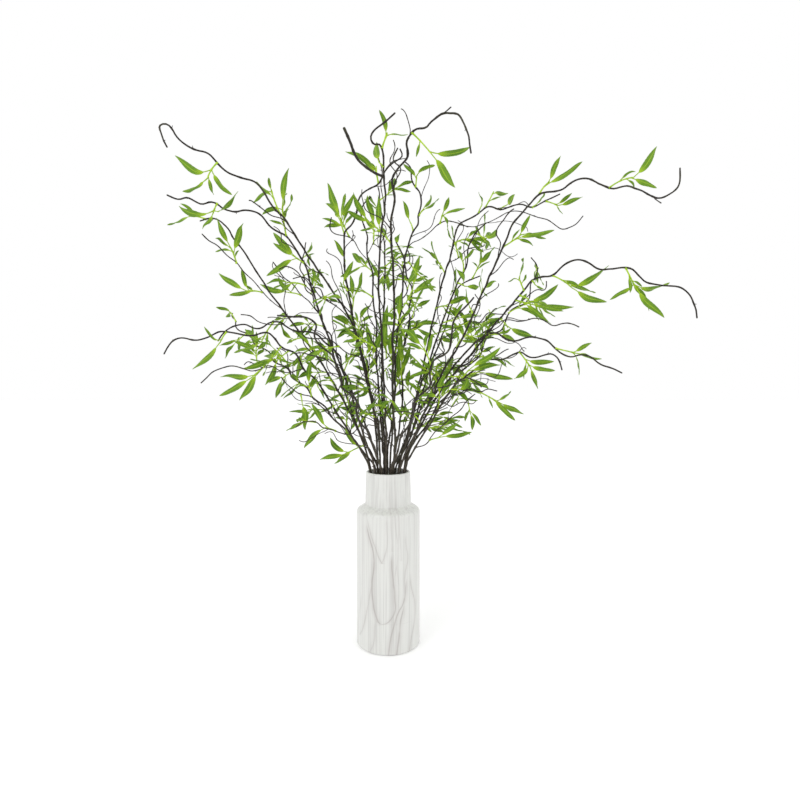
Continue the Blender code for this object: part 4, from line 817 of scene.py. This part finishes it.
    def grow_seen_sprigs(self):
        for name, foot, end, tips in SEEN_SPRIGS:
            shoot, found = self.nearest(self.stems[name], foot)
            pairs = len(tips) // 2
            least = SHORTEST_TWIG + PAIR_SPACING * pairs
            for attempt in range(SPRIG_TRIES):
                along = found + SLIDES[attempt % len(SLIDES)]
                if not shoot.spare(along):
                    continue
                start, stem_way = shoot.at(along)
                reach = seen_at(end, self.rng.uniform(*TWIG_FORWARD) - start[1]) - start
                length = max(least, np.linalg.norm(reach))
                way = unit(reach)
                along_stem = way @ stem_way
                if abs(along_stem) > STEEPEST_TWIG:
                    aside = unit(way - along_stem * stem_way)
                    way = unit(math.copysign(STEEPEST_TWIG, along_stem) * stem_way
                               + math.sqrt(1 - STEEPEST_TWIG ** 2) * aside)
                normal = np.array([self.rng.uniform(-0.5, 0.5), -1.0, self.rng.uniform(-0.3, 0.5)])
                if self.grow_sprig(shoot, along, way, normal, length, len(tips), tips):
                    break

    def grow_other_sprigs(self, wanted, front=FRONT, lowest=SPRIGS_FROM):
        """Sprigs in the gaps along every shoot by turns, until there are `wanted`. None is further in front than `front`,
        and the stems that the picture shows get them near the middle only."""
        shoots = [(s, MIDDLE_RADIUS if name in SEEN_NAMES else math.inf)
                  for name, stem in self.stems.items() for s in self.shoots_of(stem)]
        grown = 0
        for attempt in range(SPRIG_TRIES * wanted):
            if grown == wanted:
                break
            shoot, widest = shoots[attempt % len(shoots)]
            first = VASE_HEIGHT + lowest if shoot.kind == "stem" else 0.25 * shoot.length
            along = self.rng.uniform(first, shoot.length - SPRIG_SPACING / 2)
            sprigs = [other for other, child in shoot.children if child.kind == "sprig"]
            if any(abs(along - other) < SPRIG_SPACING for other in sprigs) or not shoot.spare(along):
                continue
            start, stem_way = shoot.at(along)
            if start[1] < front or math.hypot(start[0], start[1]) > widest:
                continue
            outward = unit(np.array([start[0], start[1], 0.12]))
            aside = np.array([self.rng.gauss(0, 1) for _ in range(3)]) + 0.5 * outward
            aside = unit(aside - stem_way * (aside @ stem_way))
            way = unit(0.75 * stem_way + aside)
            normal = outward + np.array([self.rng.uniform(-0.6, 0.6) for _ in range(3)])
            leaves = self.rng.randint(*LEAVES_PER_SPRIG)
            if self.grow_sprig(shoot, along, way, normal, TWIG_FOOT + PAIR_SPACING * (leaves // 2), leaves):
                grown += 1

    def grow(self):
        self.grow_stems()
        self.grow_seen_branches()
        self.grow_seen_sprigs()
        self.grow_other_branches()
        self.grow_other_sprigs(SPRIGS_ADDED)
        return self.stems


def carried_frames(line, towards):
    """Two directions across the line at each point. The first one starts near `towards`, and both turn
    as little as possible from there."""
    ways = np.gradient(line, axis=0)
    ways /= np.linalg.norm(ways, axis=1)[:, None]
    first = towards
    frames = []
    for way in ways:
        first = unit(first - way * (first @ way))
        frames.append((first, np.cross(way, first)))
    return frames


class FineWillow(Willow):
    """The same stems, with the leaves, sprigs and bare twigs that the solids leave out."""

    def twigs(self):
        shoots = [s for stem in self.stems.values() for s in self.shoots_of(stem)]
        return [child for shoot in shoots for _, child in shoot.children if child.kind == "sprig"]

    def add_leaves(self):
        """Small young leaves on some twigs, between those that the solids have and the twig's foot."""
        for twig in self.twigs():
            side = self.rng.choice((-1, 1))
            along = twig.length - LAST_PAIR - PAIR_SPACING / 2
            while along > TWIG_FOOT * YOUNG_LEAVES_FROM:
                if self.rng.random() < YOUNG_LEAF_SHARE:
                    self.add_leaf(twig, along, side)
                side = -side
                along -= PAIR_SPACING

    def add_leaf(self, twig, along, side):
        start, way = twig.at(along)
        for _ in range(LEAF_TRIES):
            around = self.rng.uniform(-0.9, 0.9)
            across = unit(np.cross(twig.normal, way))
            aside = math.cos(around) * side * across + math.sin(around) * twig.normal
            spread = math.radians(self.rng.uniform(*LEAF_ANGLE))
            heading = math.cos(spread) * way + math.sin(spread) * aside
            facing = unit(twig.normal - heading * (twig.normal @ heading))
            size = self.rng.uniform(*LEAF_LENGTH) * self.rng.uniform(*YOUNG_LEAF)
            leaf = self.leaf(start, heading, facing, size)
            leaf.width *= YOUNG_LEAF_WIDTH
            if self.room.clear(leaf.line[1:], leaf.radii()[1:], twig.number, ROOT_REACH["leaf"]):
                self.room.take(leaf.line, leaf.radii(), twig.number)
                twig.children.append((along, leaf))
                break

    def add_bare_twigs(self):
        """Thin dark wavy twigs with no leaves, on the parts of stems and branches near the middle."""
        for stem in self.stems.values():
            for shoot in self.shoots_of(stem):
                along = VASE_HEIGHT + BARE_TWIGS_FROM if shoot.kind == "stem" else BARE_TWIGS_FROM
                along += self.rng.uniform(0.0, BARE_TWIG_SPACING)
                while along < shoot.length - BARE_TWIGS_FROM:
                    start, way = shoot.at(along)
                    if shoot.spare(along) and math.hypot(start[0], start[1]) < BARE_TWIG_LIMIT:
                        self.add_bare_twig(shoot, along, start, way)
                    along += BARE_TWIG_SPACING * self.rng.uniform(0.7, 1.3)

    def add_bare_twig(self, shoot, along, start, way):
        for _ in range(BARE_TWIG_TRIES):
            aside = np.array([self.rng.gauss(0, 1) for _ in range(3)])
            aside = unit(aside - way * (aside @ way))
            heading = unit(way + self.rng.uniform(0.4, 0.9) * aside)
            length = self.rng.uniform(*BARE_TWIG_LENGTH)
            line = even(walk(start, heading, length, 0 * way, BRANCH_SWAY, self.rng))
            if self.room.clear(line, np.full(len(line), BRANCH_TIP_RADIUS), shoot.number, 0.014):
                radius = min(BARE_RADIUS[0], BRANCH_SHARE * shoot.radius(along))
                shoot.children.append((along, self.new_shoot("bare", line, (radius, BARE_RADIUS[1]))))
                break

    def grow_fine(self):
        self.grow()
        thick, _ = self.nearest(self.stems["top_curl"], THICK_BRANCH_PIXEL)
        thick.taper = THICK_BRANCH_RADII
        self.grow_other_sprigs(SPRIGS_IN_SCENE_ONLY, SCENE_FRONT, SCENE_SPRIGS_FROM)
        self.add_leaves()
        self.add_bare_twigs()
        return self.stems


class FineSkin:
    """One stem's bark, twigs and leaves as a mesh with a map along each piece and a tone for each leaf."""

    def __init__(self, rng):
        self.rng = rng
        self.points, self.faces, self.slots, self.maps, self.tones = [], [], [], [], []

    def add(self, points, faces, slot, maps, tone):
        base = len(self.points)
        self.points += [tuple(p) for p in points]
        for face, uv in zip(faces, maps):
            self.faces.append([base + k for k in face])
            self.maps.append(uv)
            self.slots.append(slot)
            self.tones.append(tone)

    def tube(self, centres, radii, sides, slot, start_along=0.0, tone=0.5):
        """A round tube through the centres, closed by a blunt point at its end."""
        frames = carried_frames(centres, ODD_DIRECTION[::-1])
        points, faces, maps = [], [], []
        steps = np.linalg.norm(np.diff(centres, axis=0), axis=1)
        along = start_along + np.concatenate([[0], np.cumsum(steps)])
        for centre, radius, (first, second) in zip(centres, radii, frames):
            for c in range(sides):
                turn = 2 * math.pi * c / sides
                points.append(centre + radius * (math.cos(turn) * first + math.sin(turn) * second))
        for n in range(len(centres) - 1):
            for c in range(sides):
                d = (c + 1) % sides
                faces.append([n * sides + c, n * sides + d, (n + 1) * sides + d, (n + 1) * sides + c])
                low, high, left, right = along[n], along[n + 1], c / sides, (c + 1) / sides
                maps.append([(left, low), (right, low), (right, high), (left, high)])
        last = (len(centres) - 1) * sides
        way = unit(centres[-1] - centres[-2])
        points.append(centres[-1] + way * radii[-1] * 0.8)
        tip = len(points) - 1
        points.append(centres[0])
        for c in range(sides):
            d = (c + 1) % sides
            faces.append([last + c, last + d, tip])
            maps.append([(c / sides, along[-1]), ((c + 1) / sides, along[-1]), (c / sides, along[-1])])
            faces.append([d, c, tip + 1])
            maps.append([(c / sides, along[0])] * 3)
        self.add(points, faces, slot, maps, tone)

    def bark(self, shoot):
        """A stem, branch or bare twig with swollen knots where things grow, and small spurs between."""
        sides = FINE_SIDES[shoot.kind]
        line = self.kinked(shoot)
        step = FINE_STEP[shoot.kind]
        chosen = sorted({0, *range(0, len(line), step), len(line) - 1})
        if chosen[-1] - chosen[-2] < 1:
            chosen.pop(-2)
        chosen = np.array(chosen)
        along = chosen * GRAIN
        radii = np.array([shoot.radius(a) for a in along])
        radii = radii * (1 + TIP_FULLNESS * (along / shoot.length - EVEN_SHARE))
        knots = [a for a, _ in shoot.children]
        place = self.rng.uniform(0.01, KNOT_SPACING)
        while place < shoot.length - 0.004:
            knots.append(place)
            if place > (VASE_HEIGHT if shoot.kind == "stem" else 0.01) and self.rng.random() < SPUR_SHARE:
                self.spur(shoot, place)
            place += KNOT_SPACING * self.rng.uniform(0.6, 1.4)
        for knot in knots:
            radii = radii * (1 + KNOT_SWELLING * np.exp(-((along - knot) / KNOT_REACH) ** 2))
        if shoot.kind != "stem":
            radii = radii * (1 + COLLAR * np.exp(-along / 0.004))
        radii = radii * np.array([1 + 0.06 * self.rng.uniform(-1, 1) for _ in along])
        self.tube(line[chosen], radii, sides, BARK)

    def kinked(self, shoot):
        """The centre line with small kinks, which fade out at both ends."""
        line = shoot.line
        count = max(3, round(shoot.length / KINK_SPACING))
        knots = np.linspace(0, len(line) - 1, count)
        sways = [[self.rng.gauss(0, KINK) for _ in range(3)] for _ in range(count)]
        sways[0] = sways[-1] = [0.0, 0.0, 0.0]
        sways = np.array(sways)
        steps = np.arange(len(line))
        return line + np.stack([np.interp(steps, knots, sways[:, k]) for k in range(3)], axis=1)

    def spur(self, shoot, along):
        """The stub of a side twig."""
        start, way = shoot.at(along)
        aside = np.array([self.rng.gauss(0, 1) for _ in range(3)])
        heading = unit(unit(aside - way * (aside @ way)) + 0.6 * way)
        radius = shoot.radius(along)
        length = radius + self.rng.uniform(*SPUR_LENGTH)
        shares = (0.0, 0.35, 0.7, 1.0)
        centres = np.array([start + heading * length * s for s in shares])
        self.tube(centres, radius * np.array([0.60, 0.52, 0.44, 0.30]), 6, BARK)

    def green_twig(self, twig):
        along = GRAIN * np.arange(len(twig.line))
        radii = TWIG_FULLNESS * twig.radii() * (1 + 0.8 * np.exp(-along / 0.003))
        for knot, _ in twig.children:
            radii = radii * (1 + 0.30 * np.exp(-((along - knot) / 0.0018) ** 2))
        self.tube(twig.line, radii, 6, SPRIG, tone=self.rng.random())

    def blade(self, leaf):
        """A thin toothed leaf on a round stalk: folded along its midrib, waved and twisted."""
        tone = self.rng.random()
        twist = math.radians(max(-80.0, min(80.0, self.rng.gauss(0, LEAF_TWIST))))
        fold = self.rng.uniform(*LEAF_FOLD)
        ripple, phase = self.rng.uniform(0.02, 0.10), self.rng.uniform(0, 2 * math.pi)
        swell, swing = self.rng.uniform(*LEAF_WAVE), self.rng.uniform(0, 2 * math.pi)
        sickle, start = self.rng.uniform(-1, 1) * LEAF_SICKLE, self.rng.uniform(0, 2 * math.pi)
        tip_turn = math.radians(self.rng.uniform(-1, 1) * TIP_TURN)
        line = leaf.line
        stations = np.linspace(0, 1, LEAF_STATIONS + 1)
        places = stations * (len(line) - 1)
        low = np.minimum(places.astype(int), len(line) - 2)
        part = (places - low)[:, None]
        centres = line[low] * (1 - part) + line[low + 1] * part
        upward = unit(np.cross(leaf.side, line[-1] - line[0]))
        waves = swell * (np.sin(LEAF_WAVES * stations + swing) - math.sin(swing)) * np.sin(stations * 2.2)
        reach = np.linalg.norm(line[-1] - line[0])
        bends = sickle * reach * (np.sin(5.0 * stations + start) - math.sin(start)) * np.minimum(1, 2 * stations)
        centres = centres + waves[:, None] * upward + bends[:, None] * leaf.side
        ways = np.gradient(centres, axis=0)
        points = []
        for n, (share, centre, way) in enumerate(zip(stations, centres, ways)):
            way = unit(way)
            side = unit(leaf.side - way * (leaf.side @ way))
            normal = np.cross(side, way)
            turn = twist * share + tip_turn * max(0.0, 2 * share - 1) ** 2
            side, normal = (math.cos(turn) * side + math.sin(turn) * normal,
                            math.cos(turn) * normal - math.sin(turn) * side)
            body = (share - STALK_SHARE) / (1 - STALK_SHARE)
            half = leaf.width / 2 * math.sin(math.pi * body ** LEAF_SKEW) ** LEAF_POINT if 0 < body < 1 else 0
            if n % 2 and 0.1 < body < 0.95:
                half *= 1 - TOOTH
            half = max(half, STALK_RADIUS if share < 0.5 else 0.0001)
            stalk = max(0.0, 1 - share / STALK_SHARE)
            thick = BLADE_THICKNESS / 2 + (STALK_RADIUS - BLADE_THICKNESS / 2) * stalk
            for rib, away in ((1.6, 1), (2.2, -1)):
                for q in LEAF_COLUMNS:
                    wave = ripple * half * 2 * q * q * math.sin(11 * share + phase + (1.9 if q > 0 else 0))
                    lift = fold * abs(q) * half + wave + away * thick * (rib if q == 0 else 1)
                    points.append(centre + side * q * half + normal * lift)
        columns = len(LEAF_COLUMNS)
        row = 2 * columns
        top, under = ([], []), ([], [])
        def uv(n, c):
            return ((LEAF_COLUMNS[c] + 1) / 2, stations[n])
        for n in range(LEAF_STATIONS):
            a, b = n * row, (n + 1) * row
            for c in range(columns - 1):
                corners = [(n, c), (n, c + 1), (n + 1, c + 1), (n + 1, c)]
                top[0].append([a + c, b + c, b + c + 1, a + c + 1][::-1])
                top[1].append([uv(*corners[k]) for k in (0, 3, 2, 1)][::-1])
                under[0].append([a + columns + c, a + columns + c + 1, b + columns + c + 1, b + columns + c][::-1])
                under[1].append([uv(*corner) for corner in corners][::-1])
            for c, turned_round in ((0, False), (columns - 1, True)):
                edge = [a + c, a + columns + c, b + columns + c, b + c]
                top[0].append(edge if not turned_round else edge[::-1])
                top[1].append([uv(n, c), uv(n, c), uv(n + 1, c), uv(n + 1, c)])
        for end in (0, LEAF_STATIONS):
            ring = [end * row + c for c in range(columns)] + [end * row + columns + c for c in range(columns)][::-1]
            top[0].append(ring if end == 0 else ring[::-1])
            top[1].append([(0.5, stations[end])] * row)
        self.add(points, top[0] + under[0], LEAF, top[1] + under[1], tone)
        for k in range(len(under[0])):
            self.tones[-1 - k] = tone + UNDERSIDE

    def grow(self, shoot):
        if shoot.kind == "sprig":
            self.green_twig(shoot)
        else:
            self.bark(shoot)
        for _, child in shoot.children:
            if child.kind == "leaf":
                self.blade(child)
            else:
                self.grow(child)
        if shoot.end_leaf is not None:
            self.blade(shoot.end_leaf)

    def object(self, name, materials):
        mesh = bpy.data.meshes.new(name)
        mesh.from_pydata(self.points, [], self.faces)
        mesh.polygons.foreach_set("material_index", self.slots)
        mesh.polygons.foreach_set("use_smooth", [True] * len(self.faces))
        uv = mesh.uv_layers.new(name=PIECE_MAP)
        uv.data.foreach_set("uv", [x for corners in self.maps for pair in corners for x in pair])
        tone = mesh.attributes.new(TONE, "FLOAT", "FACE")
        tone.data.foreach_set("value", self.tones)
        mesh.update()
        for material in materials:
            mesh.materials.append(material)
        obj = bpy.data.objects.new(name, mesh)
        bpy.context.scene.collection.objects.link(obj)
        return obj


class Nodes:
    """Short forms for building a material's nodes."""

    def __init__(self, name, roughness, specular=0.5):
        self.material = bpy.data.materials.new(name)
        self.material.use_nodes = True
        self.tree = self.material.node_tree
        self.shader = self.tree.nodes["Principled BSDF"]
        self.shader.inputs["Roughness"].default_value = roughness
        self.shader.inputs["Specular IOR Level"].default_value = specular

    def add(self, kind, inputs=(), **settings):
        node = self.tree.nodes.new(kind)
        for key, value in settings.items():
            setattr(node, key, value)
        for key, value in dict(inputs).items():
            if isinstance(value, bpy.types.NodeSocket):
                self.tree.links.new(value, node.inputs[key])
            else:
                node.inputs[key].default_value = value
        return node

    def maths(self, operation, a, b=0.0, c=0.0):
        return self.add("ShaderNodeMath", {0: a, 1: b, 2: c}, operation=operation).outputs[0]

    def noise(self, vector, scale, detail=3.0, roughness=0.5):
        inputs = {"Vector": vector, "Scale": scale, "Detail": detail, "Roughness": roughness}
        return self.add("ShaderNodeTexNoise", inputs).outputs["Fac"]

    def mix(self, factor, a, b):
        node = self.add("ShaderNodeMix", data_type="RGBA")
        for key, value in (("Factor", factor), ("A", a), ("B", b)):
            socket = next(s for s in node.inputs if s.name == key and s.enabled)
            if isinstance(value, bpy.types.NodeSocket):
                self.tree.links.new(value, socket)
            else:
                socket.default_value = value if key == "Factor" else (*value, 1.0)
        return next(s for s in node.outputs if s.enabled)

    def stretch(self, value, low, high, to_low=0.0, to_high=1.0):
        inputs = {"Value": value, "From Min": low, "From Max": high, "To Min": to_low, "To Max": to_high}
        return self.add("ShaderNodeMapRange", inputs, interpolation_type="SMOOTHSTEP").outputs[0]

    def vector(self, x, y, z):
        return self.add("ShaderNodeCombineXYZ", {"X": x, "Y": y, "Z": z}).outputs[0]

    def split(self, vector):
        return self.add("ShaderNodeSeparateXYZ", {"Vector": vector}).outputs

    def piece_map(self):
        return self.split(self.add("ShaderNodeUVMap", uv_map=PIECE_MAP).outputs[0])

    def place(self):
        return self.add("ShaderNodeTexCoord").outputs["Object"]

    def tone(self):
        return self.add("ShaderNodeAttribute", attribute_name=TONE).outputs["Fac"]

    def finish(self, colour, height=None, depth=0.0, strength=1.0, roughness=None):
        self.tree.links.new(colour, self.shader.inputs["Base Color"])
        if roughness is not None:
            self.tree.links.new(roughness, self.shader.inputs["Roughness"])
        if height is not None:
            bump = self.add("ShaderNodeBump", {"Height": height, "Distance": depth, "Strength": strength})
            self.tree.links.new(bump.outputs[0], self.shader.inputs["Normal"])
        return self.material


def bark_material():
    """Near-black brown bark with lengthwise cracks and an olive bloom, darkest towards the tips and lighter lower
    down, near the vase's mouth, where the lighter colour is a painted highlight.
    """
    n = Nodes("bark", 0.62, 0.3)
    around, along, _ = n.piece_map()
    streaks = n.noise(n.vector(n.maths("MULTIPLY", around, 7.0), n.maths("MULTIPLY", along, 90.0), 0.0), 1.0, 4.0)
    patches = n.noise(n.place(), 38.0, 3.0)
    grit = n.noise(n.place(), 900.0, 2.0)
    lines = n.stretch(streaks, 0.35, 0.7)
    young = n.mix(lines, (0.010, 0.008, 0.006), (0.038, 0.030, 0.021))
    # Painted highlight: the lighter bark colours that the stems get lower down, near the vase's mouth.
    highlit_lower_bark = n.mix(lines, (0.024, 0.019, 0.014), (0.090, 0.074, 0.054))
    height_above = n.split(n.place())[2]
    # Painted highlight near the mouth, fading to the darker bark colours higher up towards the tips.
    dark = n.mix(n.stretch(height_above, VASE_HEIGHT, VASE_HEIGHT + 0.25), highlit_lower_bark, young)
    colour = n.mix(n.stretch(patches, 0.48, 0.72, 0.0, 0.7), dark, (0.052, 0.050, 0.024))
    height = n.maths("ADD", streaks, n.maths("MULTIPLY", grit, 0.25))
    return n.finish(colour, height, 0.0009, 0.8)


def sprig_material():
    """Bright lime moulded twig, a little darker in patches."""
    n = Nodes("sprig", 0.45, 0.3)
    patches = n.noise(n.place(), 120.0, 2.0)
    colour = n.mix(n.stretch(patches, 0.35, 0.7), (0.30, 0.50, 0.018), (0.46, 0.66, 0.035))
    return n.finish(colour, n.noise(n.place(), 700.0, 2.0), 0.0003, 0.4)


def leaf_material():
    """Printed fabric leaf: mid green with lighter edges and tip, a lime midrib and fine side veins."""
    n = Nodes("leaf", 0.55, 0.22)
    across, along, _ = n.piece_map()
    from_rib = n.maths("ABSOLUTE", n.maths("SUBTRACT", n.maths("MULTIPLY", across, 2.0), 1.0))
    tone = n.tone()
    patches = n.noise(n.place(), 26.0, 2.0)
    weave = n.noise(n.place(), 1500.0, 1.0)
    deep = n.mix(tone, (0.046, 0.135, 0.007), (0.122, 0.255, 0.014))
    base = n.mix(n.stretch(patches, 0.35, 0.68), deep, (0.145, 0.285, 0.019))
    edge = n.maths("MULTIPLY", n.stretch(from_rib, 0.55, 1.0), 0.45)
    base = n.mix(edge, base, (0.186, 0.330, 0.031))
    tip = n.maths("MULTIPLY", n.stretch(along, 0.72, 1.0), 0.5)
    base = n.mix(tip, base, (0.215, 0.355, 0.026))
    slant = n.maths("SUBTRACT", n.maths("MULTIPLY", along, 42.0), n.maths("MULTIPLY", from_rib, 5.0))
    veins = n.stretch(n.maths("ABSOLUTE", n.maths("SINE", slant)), 0.0, 0.30, 1.0, 0.0)
    base = n.mix(n.maths("MULTIPLY", veins, 0.28), base, (0.244, 0.390, 0.040))
    rib = n.stretch(from_rib, 0.03, 0.20, 1.0, 0.0)
    foot = n.stretch(along, STALK_SHARE * 0.8, STALK_SHARE * 2.6, 1.0, 0.0)
    lime = n.maths("MAXIMUM", n.maths("MULTIPLY", rib, 0.65), foot)
    colour = n.mix(lime, base, (0.365, 0.555, 0.020))
    height = n.maths("ADD", n.maths("ADD", n.maths("MULTIPLY", veins, -0.6), n.maths("MULTIPLY", rib, 0.8)),
                     n.maths("MULTIPLY", weave, 0.35))
    return n.finish(colour, height, 0.0004, 0.7)


def on_vase(pixel):
    """The place round the vase's front, as a distance from its middle, and the height of a pixel there."""
    behind, before = seen_at(pixel, 0.0), seen_at(pixel, VASE_RADIUS)
    share = 0.0
    for _ in range(12):
        place = behind + (before - behind) * share
        surface = math.sqrt(VASE_RADIUS ** 2 - min(abs(place[0]), VASE_RADIUS * 0.99) ** 2)
        share = surface / VASE_RADIUS
    return VASE_RADIUS * math.atan2(place[0], -place[1]), place[2]


def grain_line(n, around, z, pixels, width, strength):
    """How strongly one line of the printed grain, traced from its top down, marks each place."""
    places = [on_vase(pixel) for pixel in pixels]
    heights = [height for _, height in places]
    curve = n.add("ShaderNodeFloatCurve", {"Value": n.maths("DIVIDE", z, VASE_HEIGHT)})
    points = curve.mapping.curves[0].points
    wanted = sorted((height / VASE_HEIGHT, 0.5 + across / GRAIN_MAP) for across, height in places)
    while len(points) < len(wanted):
        points.new(0.5, 0.5)
    for point, (height, across) in zip(points, wanted):
        point.location = (height, across)
    curve.mapping.update()
    line = n.maths("MULTIPLY", n.maths("SUBTRACT", curve.outputs[0], 0.5), GRAIN_MAP)
    away = n.maths("ABSOLUTE", n.maths("SUBTRACT", around, line))
    core = n.stretch(away, 0.0, width, strength, 0.0)
    halo = n.stretch(away, 0.0, 3.5 * width, 0.35 * strength, 0.0)
    mark = n.maths("MAXIMUM", core, halo)
    above = n.stretch(z, min(heights) - 0.003, min(heights) - 0.001)
    below = n.stretch(z, max(heights) - 0.030, max(heights), 1.0, 0.0)
    return n.maths("MULTIPLY", mark, n.maths("MULTIPLY", above, below))


def glaze_material():
    """White satin glaze printed with pale wood grain: U-shaped loops in front, fine straight lines round it."""
    n = Nodes("white_glaze", 0.32)
    x, y, z = n.split(n.place())
    angle = n.maths("ARCTAN2", x, n.maths("MULTIPLY", y, -1.0))
    around = n.maths("MULTIPLY", angle, VASE_RADIUS)
    wobble = n.noise(n.vector(n.maths("MULTIPLY", x, 40.0), n.maths("MULTIPLY", y, 40.0), n.maths("MULTIPLY", z, 22.0)), 1.0, 3.0)
    fine = n.noise(n.vector(n.maths("MULTIPLY", x, 110.0), n.maths("MULTIPLY", y, 110.0), n.maths("MULTIPLY", z, 2.5)), 1.0, 2.0)
    streak = n.noise(n.vector(n.maths("MULTIPLY", x, 330.0), n.maths("MULTIPLY", y, 330.0), n.maths("MULTIPLY", z, 5.0)), 1.0, 3.0)
    wavy = n.maths("ADD", around, n.maths("MULTIPLY", n.maths("SUBTRACT", wobble, 0.5), 0.0045))
    marks = 0.0
    for pixels, width, strength in GRAIN_LINES:
        marks = n.maths("MAXIMUM", marks, grain_line(n, wavy, z, pixels, width, strength))
    patchy = n.stretch(wobble, 0.25, 0.60, 0.55, 1.0)
    pale = n.mix(n.stretch(streak, 0.45, 0.72, 0.0, 0.8), WHITE_GLAZE, GREY_LINE)
    pale = n.mix(n.stretch(fine, 0.50, 0.72, 0.0, 0.7), pale, GREY_LINE)
    colour = n.mix(n.maths("MULTIPLY", marks, patchy), pale, DARK_GRAIN)
    return n.finish(colour, n.maths("ADD", n.maths("MULTIPLY", streak, 0.4), n.noise(n.place(), 160.0, 2.0)), 0.0003, 0.25)


def arc(centre, radius, start, end, steps):
    """Points (r, z) on an arc from one angle to another, in degrees."""
    angles = [math.radians(start + (end - start) * k / steps) for k in range(steps + 1)]
    return [(centre[0] + radius * math.cos(a), centre[1] + radius * math.sin(a)) for a in angles]


def fine_vase(material):
    """The vase turned round Z, with soft rounds at its lip, neck, shoulder and foot."""
    shoulder_top = VASE_HEIGHT - NECK_LENGTH
    shoulder_foot = shoulder_top - SHOULDER_DROP
    lip = WALL / 2
    inner = VASE_RADIUS - WALL
    inside = [(0.0, FLOOR), *arc((inner - BASE_ROUND, FLOOR + BASE_ROUND), BASE_ROUND, -90, 0, 8),
              *arc((inner - SHOULDER_ROUND, shoulder_foot - 0.005), SHOULDER_ROUND, 0, 50, 8),
              (NECK_FOOT_RADIUS - WALL, shoulder_top - 0.002)]
    over_lip = arc((LIP_RADIUS - lip, VASE_HEIGHT - lip), lip, 180, 0, 12)
    neck = [(LIP_RADIUS + (NECK_FOOT_RADIUS - LIP_RADIUS) * s, VASE_HEIGHT - lip - (NECK_LENGTH - lip - 0.004) * s)
            for s in (0.33, 0.66, 1.0)]
    crease = arc((NECK_FOOT_RADIUS + NECK_CREASE, shoulder_top + 0.0015), NECK_CREASE, 190, 232, 5)
    shoulder = arc((VASE_RADIUS - SHOULDER_ROUND, shoulder_foot - 0.003), SHOULDER_ROUND, 52, 0, 10)
    body = [(VASE_RADIUS, shoulder_foot - 0.003 - (shoulder_foot - 0.003 - BASE_ROUND) * s) for s in (0.25, 0.5, 0.75)]
    base = arc((VASE_RADIUS - BASE_ROUND, BASE_ROUND), BASE_ROUND, 0, -90, 10)
    profile = [*inside, *over_lip, *neck, *crease, *shoulder, *body, *base, (0.0, 0.0)]
    mesh = bpy.data.meshes.new("vase_glazed")
    edges = [(k, k + 1) for k in range(len(profile) - 1)]
    mesh.from_pydata([(r, 0.0, z) for r, z in profile], edges, [])
    mesh.materials.append(material)
    obj = bpy.data.objects.new("vase_glazed", mesh)
    bpy.context.scene.collection.objects.link(obj)
    screw = obj.modifiers.new("Turn", "SCREW")
    screw.steps = screw.render_steps = 120
    screw.use_merge_vertices = True
    screw.merge_threshold = 0.0001
    screw.use_smooth_shade = True
    return obj


def camera():
    data = bpy.data.cameras.new("photo_view")
    data.sensor_width = SENSOR_WIDTH
    data.lens = VIEW_FOCAL_PX / (2 * PICTURE_MIDDLE_PX) * SENSOR_WIDTH
    obj = bpy.data.objects.new("photo_view", data)
    obj.location = (VIEW_ACROSS, -VIEW_BACK, VIEW_HEIGHT)
    obj.rotation_euler = (math.pi / 2 - VIEW_PITCH, 0.0, 0.0)
    bpy.context.scene.collection.objects.link(obj)
    bpy.context.scene.camera = obj
    bpy.context.scene.view_settings.view_transform = "Standard"


def studio():
    """A white floor and soft light from all round, brighter from above and the left."""
    n = Nodes("floor", 0.8)
    n.shader.inputs["Base Color"].default_value = (0.93, 0.93, 0.93, 1.0)
    n.shader.inputs["Emission Color"].default_value = (1.0, 1.0, 1.0, 1.0)
    n.shader.inputs["Emission Strength"].default_value = FLOOR_GLOW
    mesh = bpy.data.meshes.new("floor")
    far = 12.0
    mesh.from_pydata([(-far, -far, -0.0005), (far, -far, -0.0005), (far, far, -0.0005), (-far, far, -0.0005)],
                     [], [(0, 1, 2, 3)])
    mesh.materials.append(n.material)
    floor = bpy.data.objects.new("floor", mesh)
    bpy.context.scene.collection.objects.link(floor)
    floor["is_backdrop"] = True
    world = bpy.data.worlds.new("studio")
    world.use_nodes = True
    world.node_tree.nodes["Background"].inputs["Color"].default_value = (1.0, 1.0, 1.0, 1.0)
    world.node_tree.nodes["Background"].inputs["Strength"].default_value = 1.0
    bpy.context.scene.world = world
    for name, place, size, power in LIGHTS:
        data = bpy.data.lights.new(name, "AREA")
        data.shape, data.size, data.energy = "DISK", size, power
        obj = bpy.data.objects.new(name, data)
        obj.location = place
        aim = Vector((0.0, 0.0, 0.5)) - Vector(place)
        obj.rotation_euler = aim.to_track_quat("-Z", "Y").to_euler()
        bpy.context.scene.collection.objects.link(obj)


def main():
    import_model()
    cad_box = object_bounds()
    camera()
    studio()

    vase = fine_vase(glaze_material())
    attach(vase, "root")
    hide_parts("vase")

    materials = (bark_material(), sprig_material(), leaf_material())
    stems = FineWillow().grow_fine()
    for number, stem in enumerate(stems.values(), 1):
        skin = FineSkin(random.Random(SEED + number))
        skin.grow(stem)
        piece = skin.object(f"willow_{number:02d}_bark_sprigs_leaves", materials)
        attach(piece, "root")
        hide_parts(f"willow_stem_{number:02d}")

    [[list(corner) for corner in box] for box in (cad_box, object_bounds())]


main()
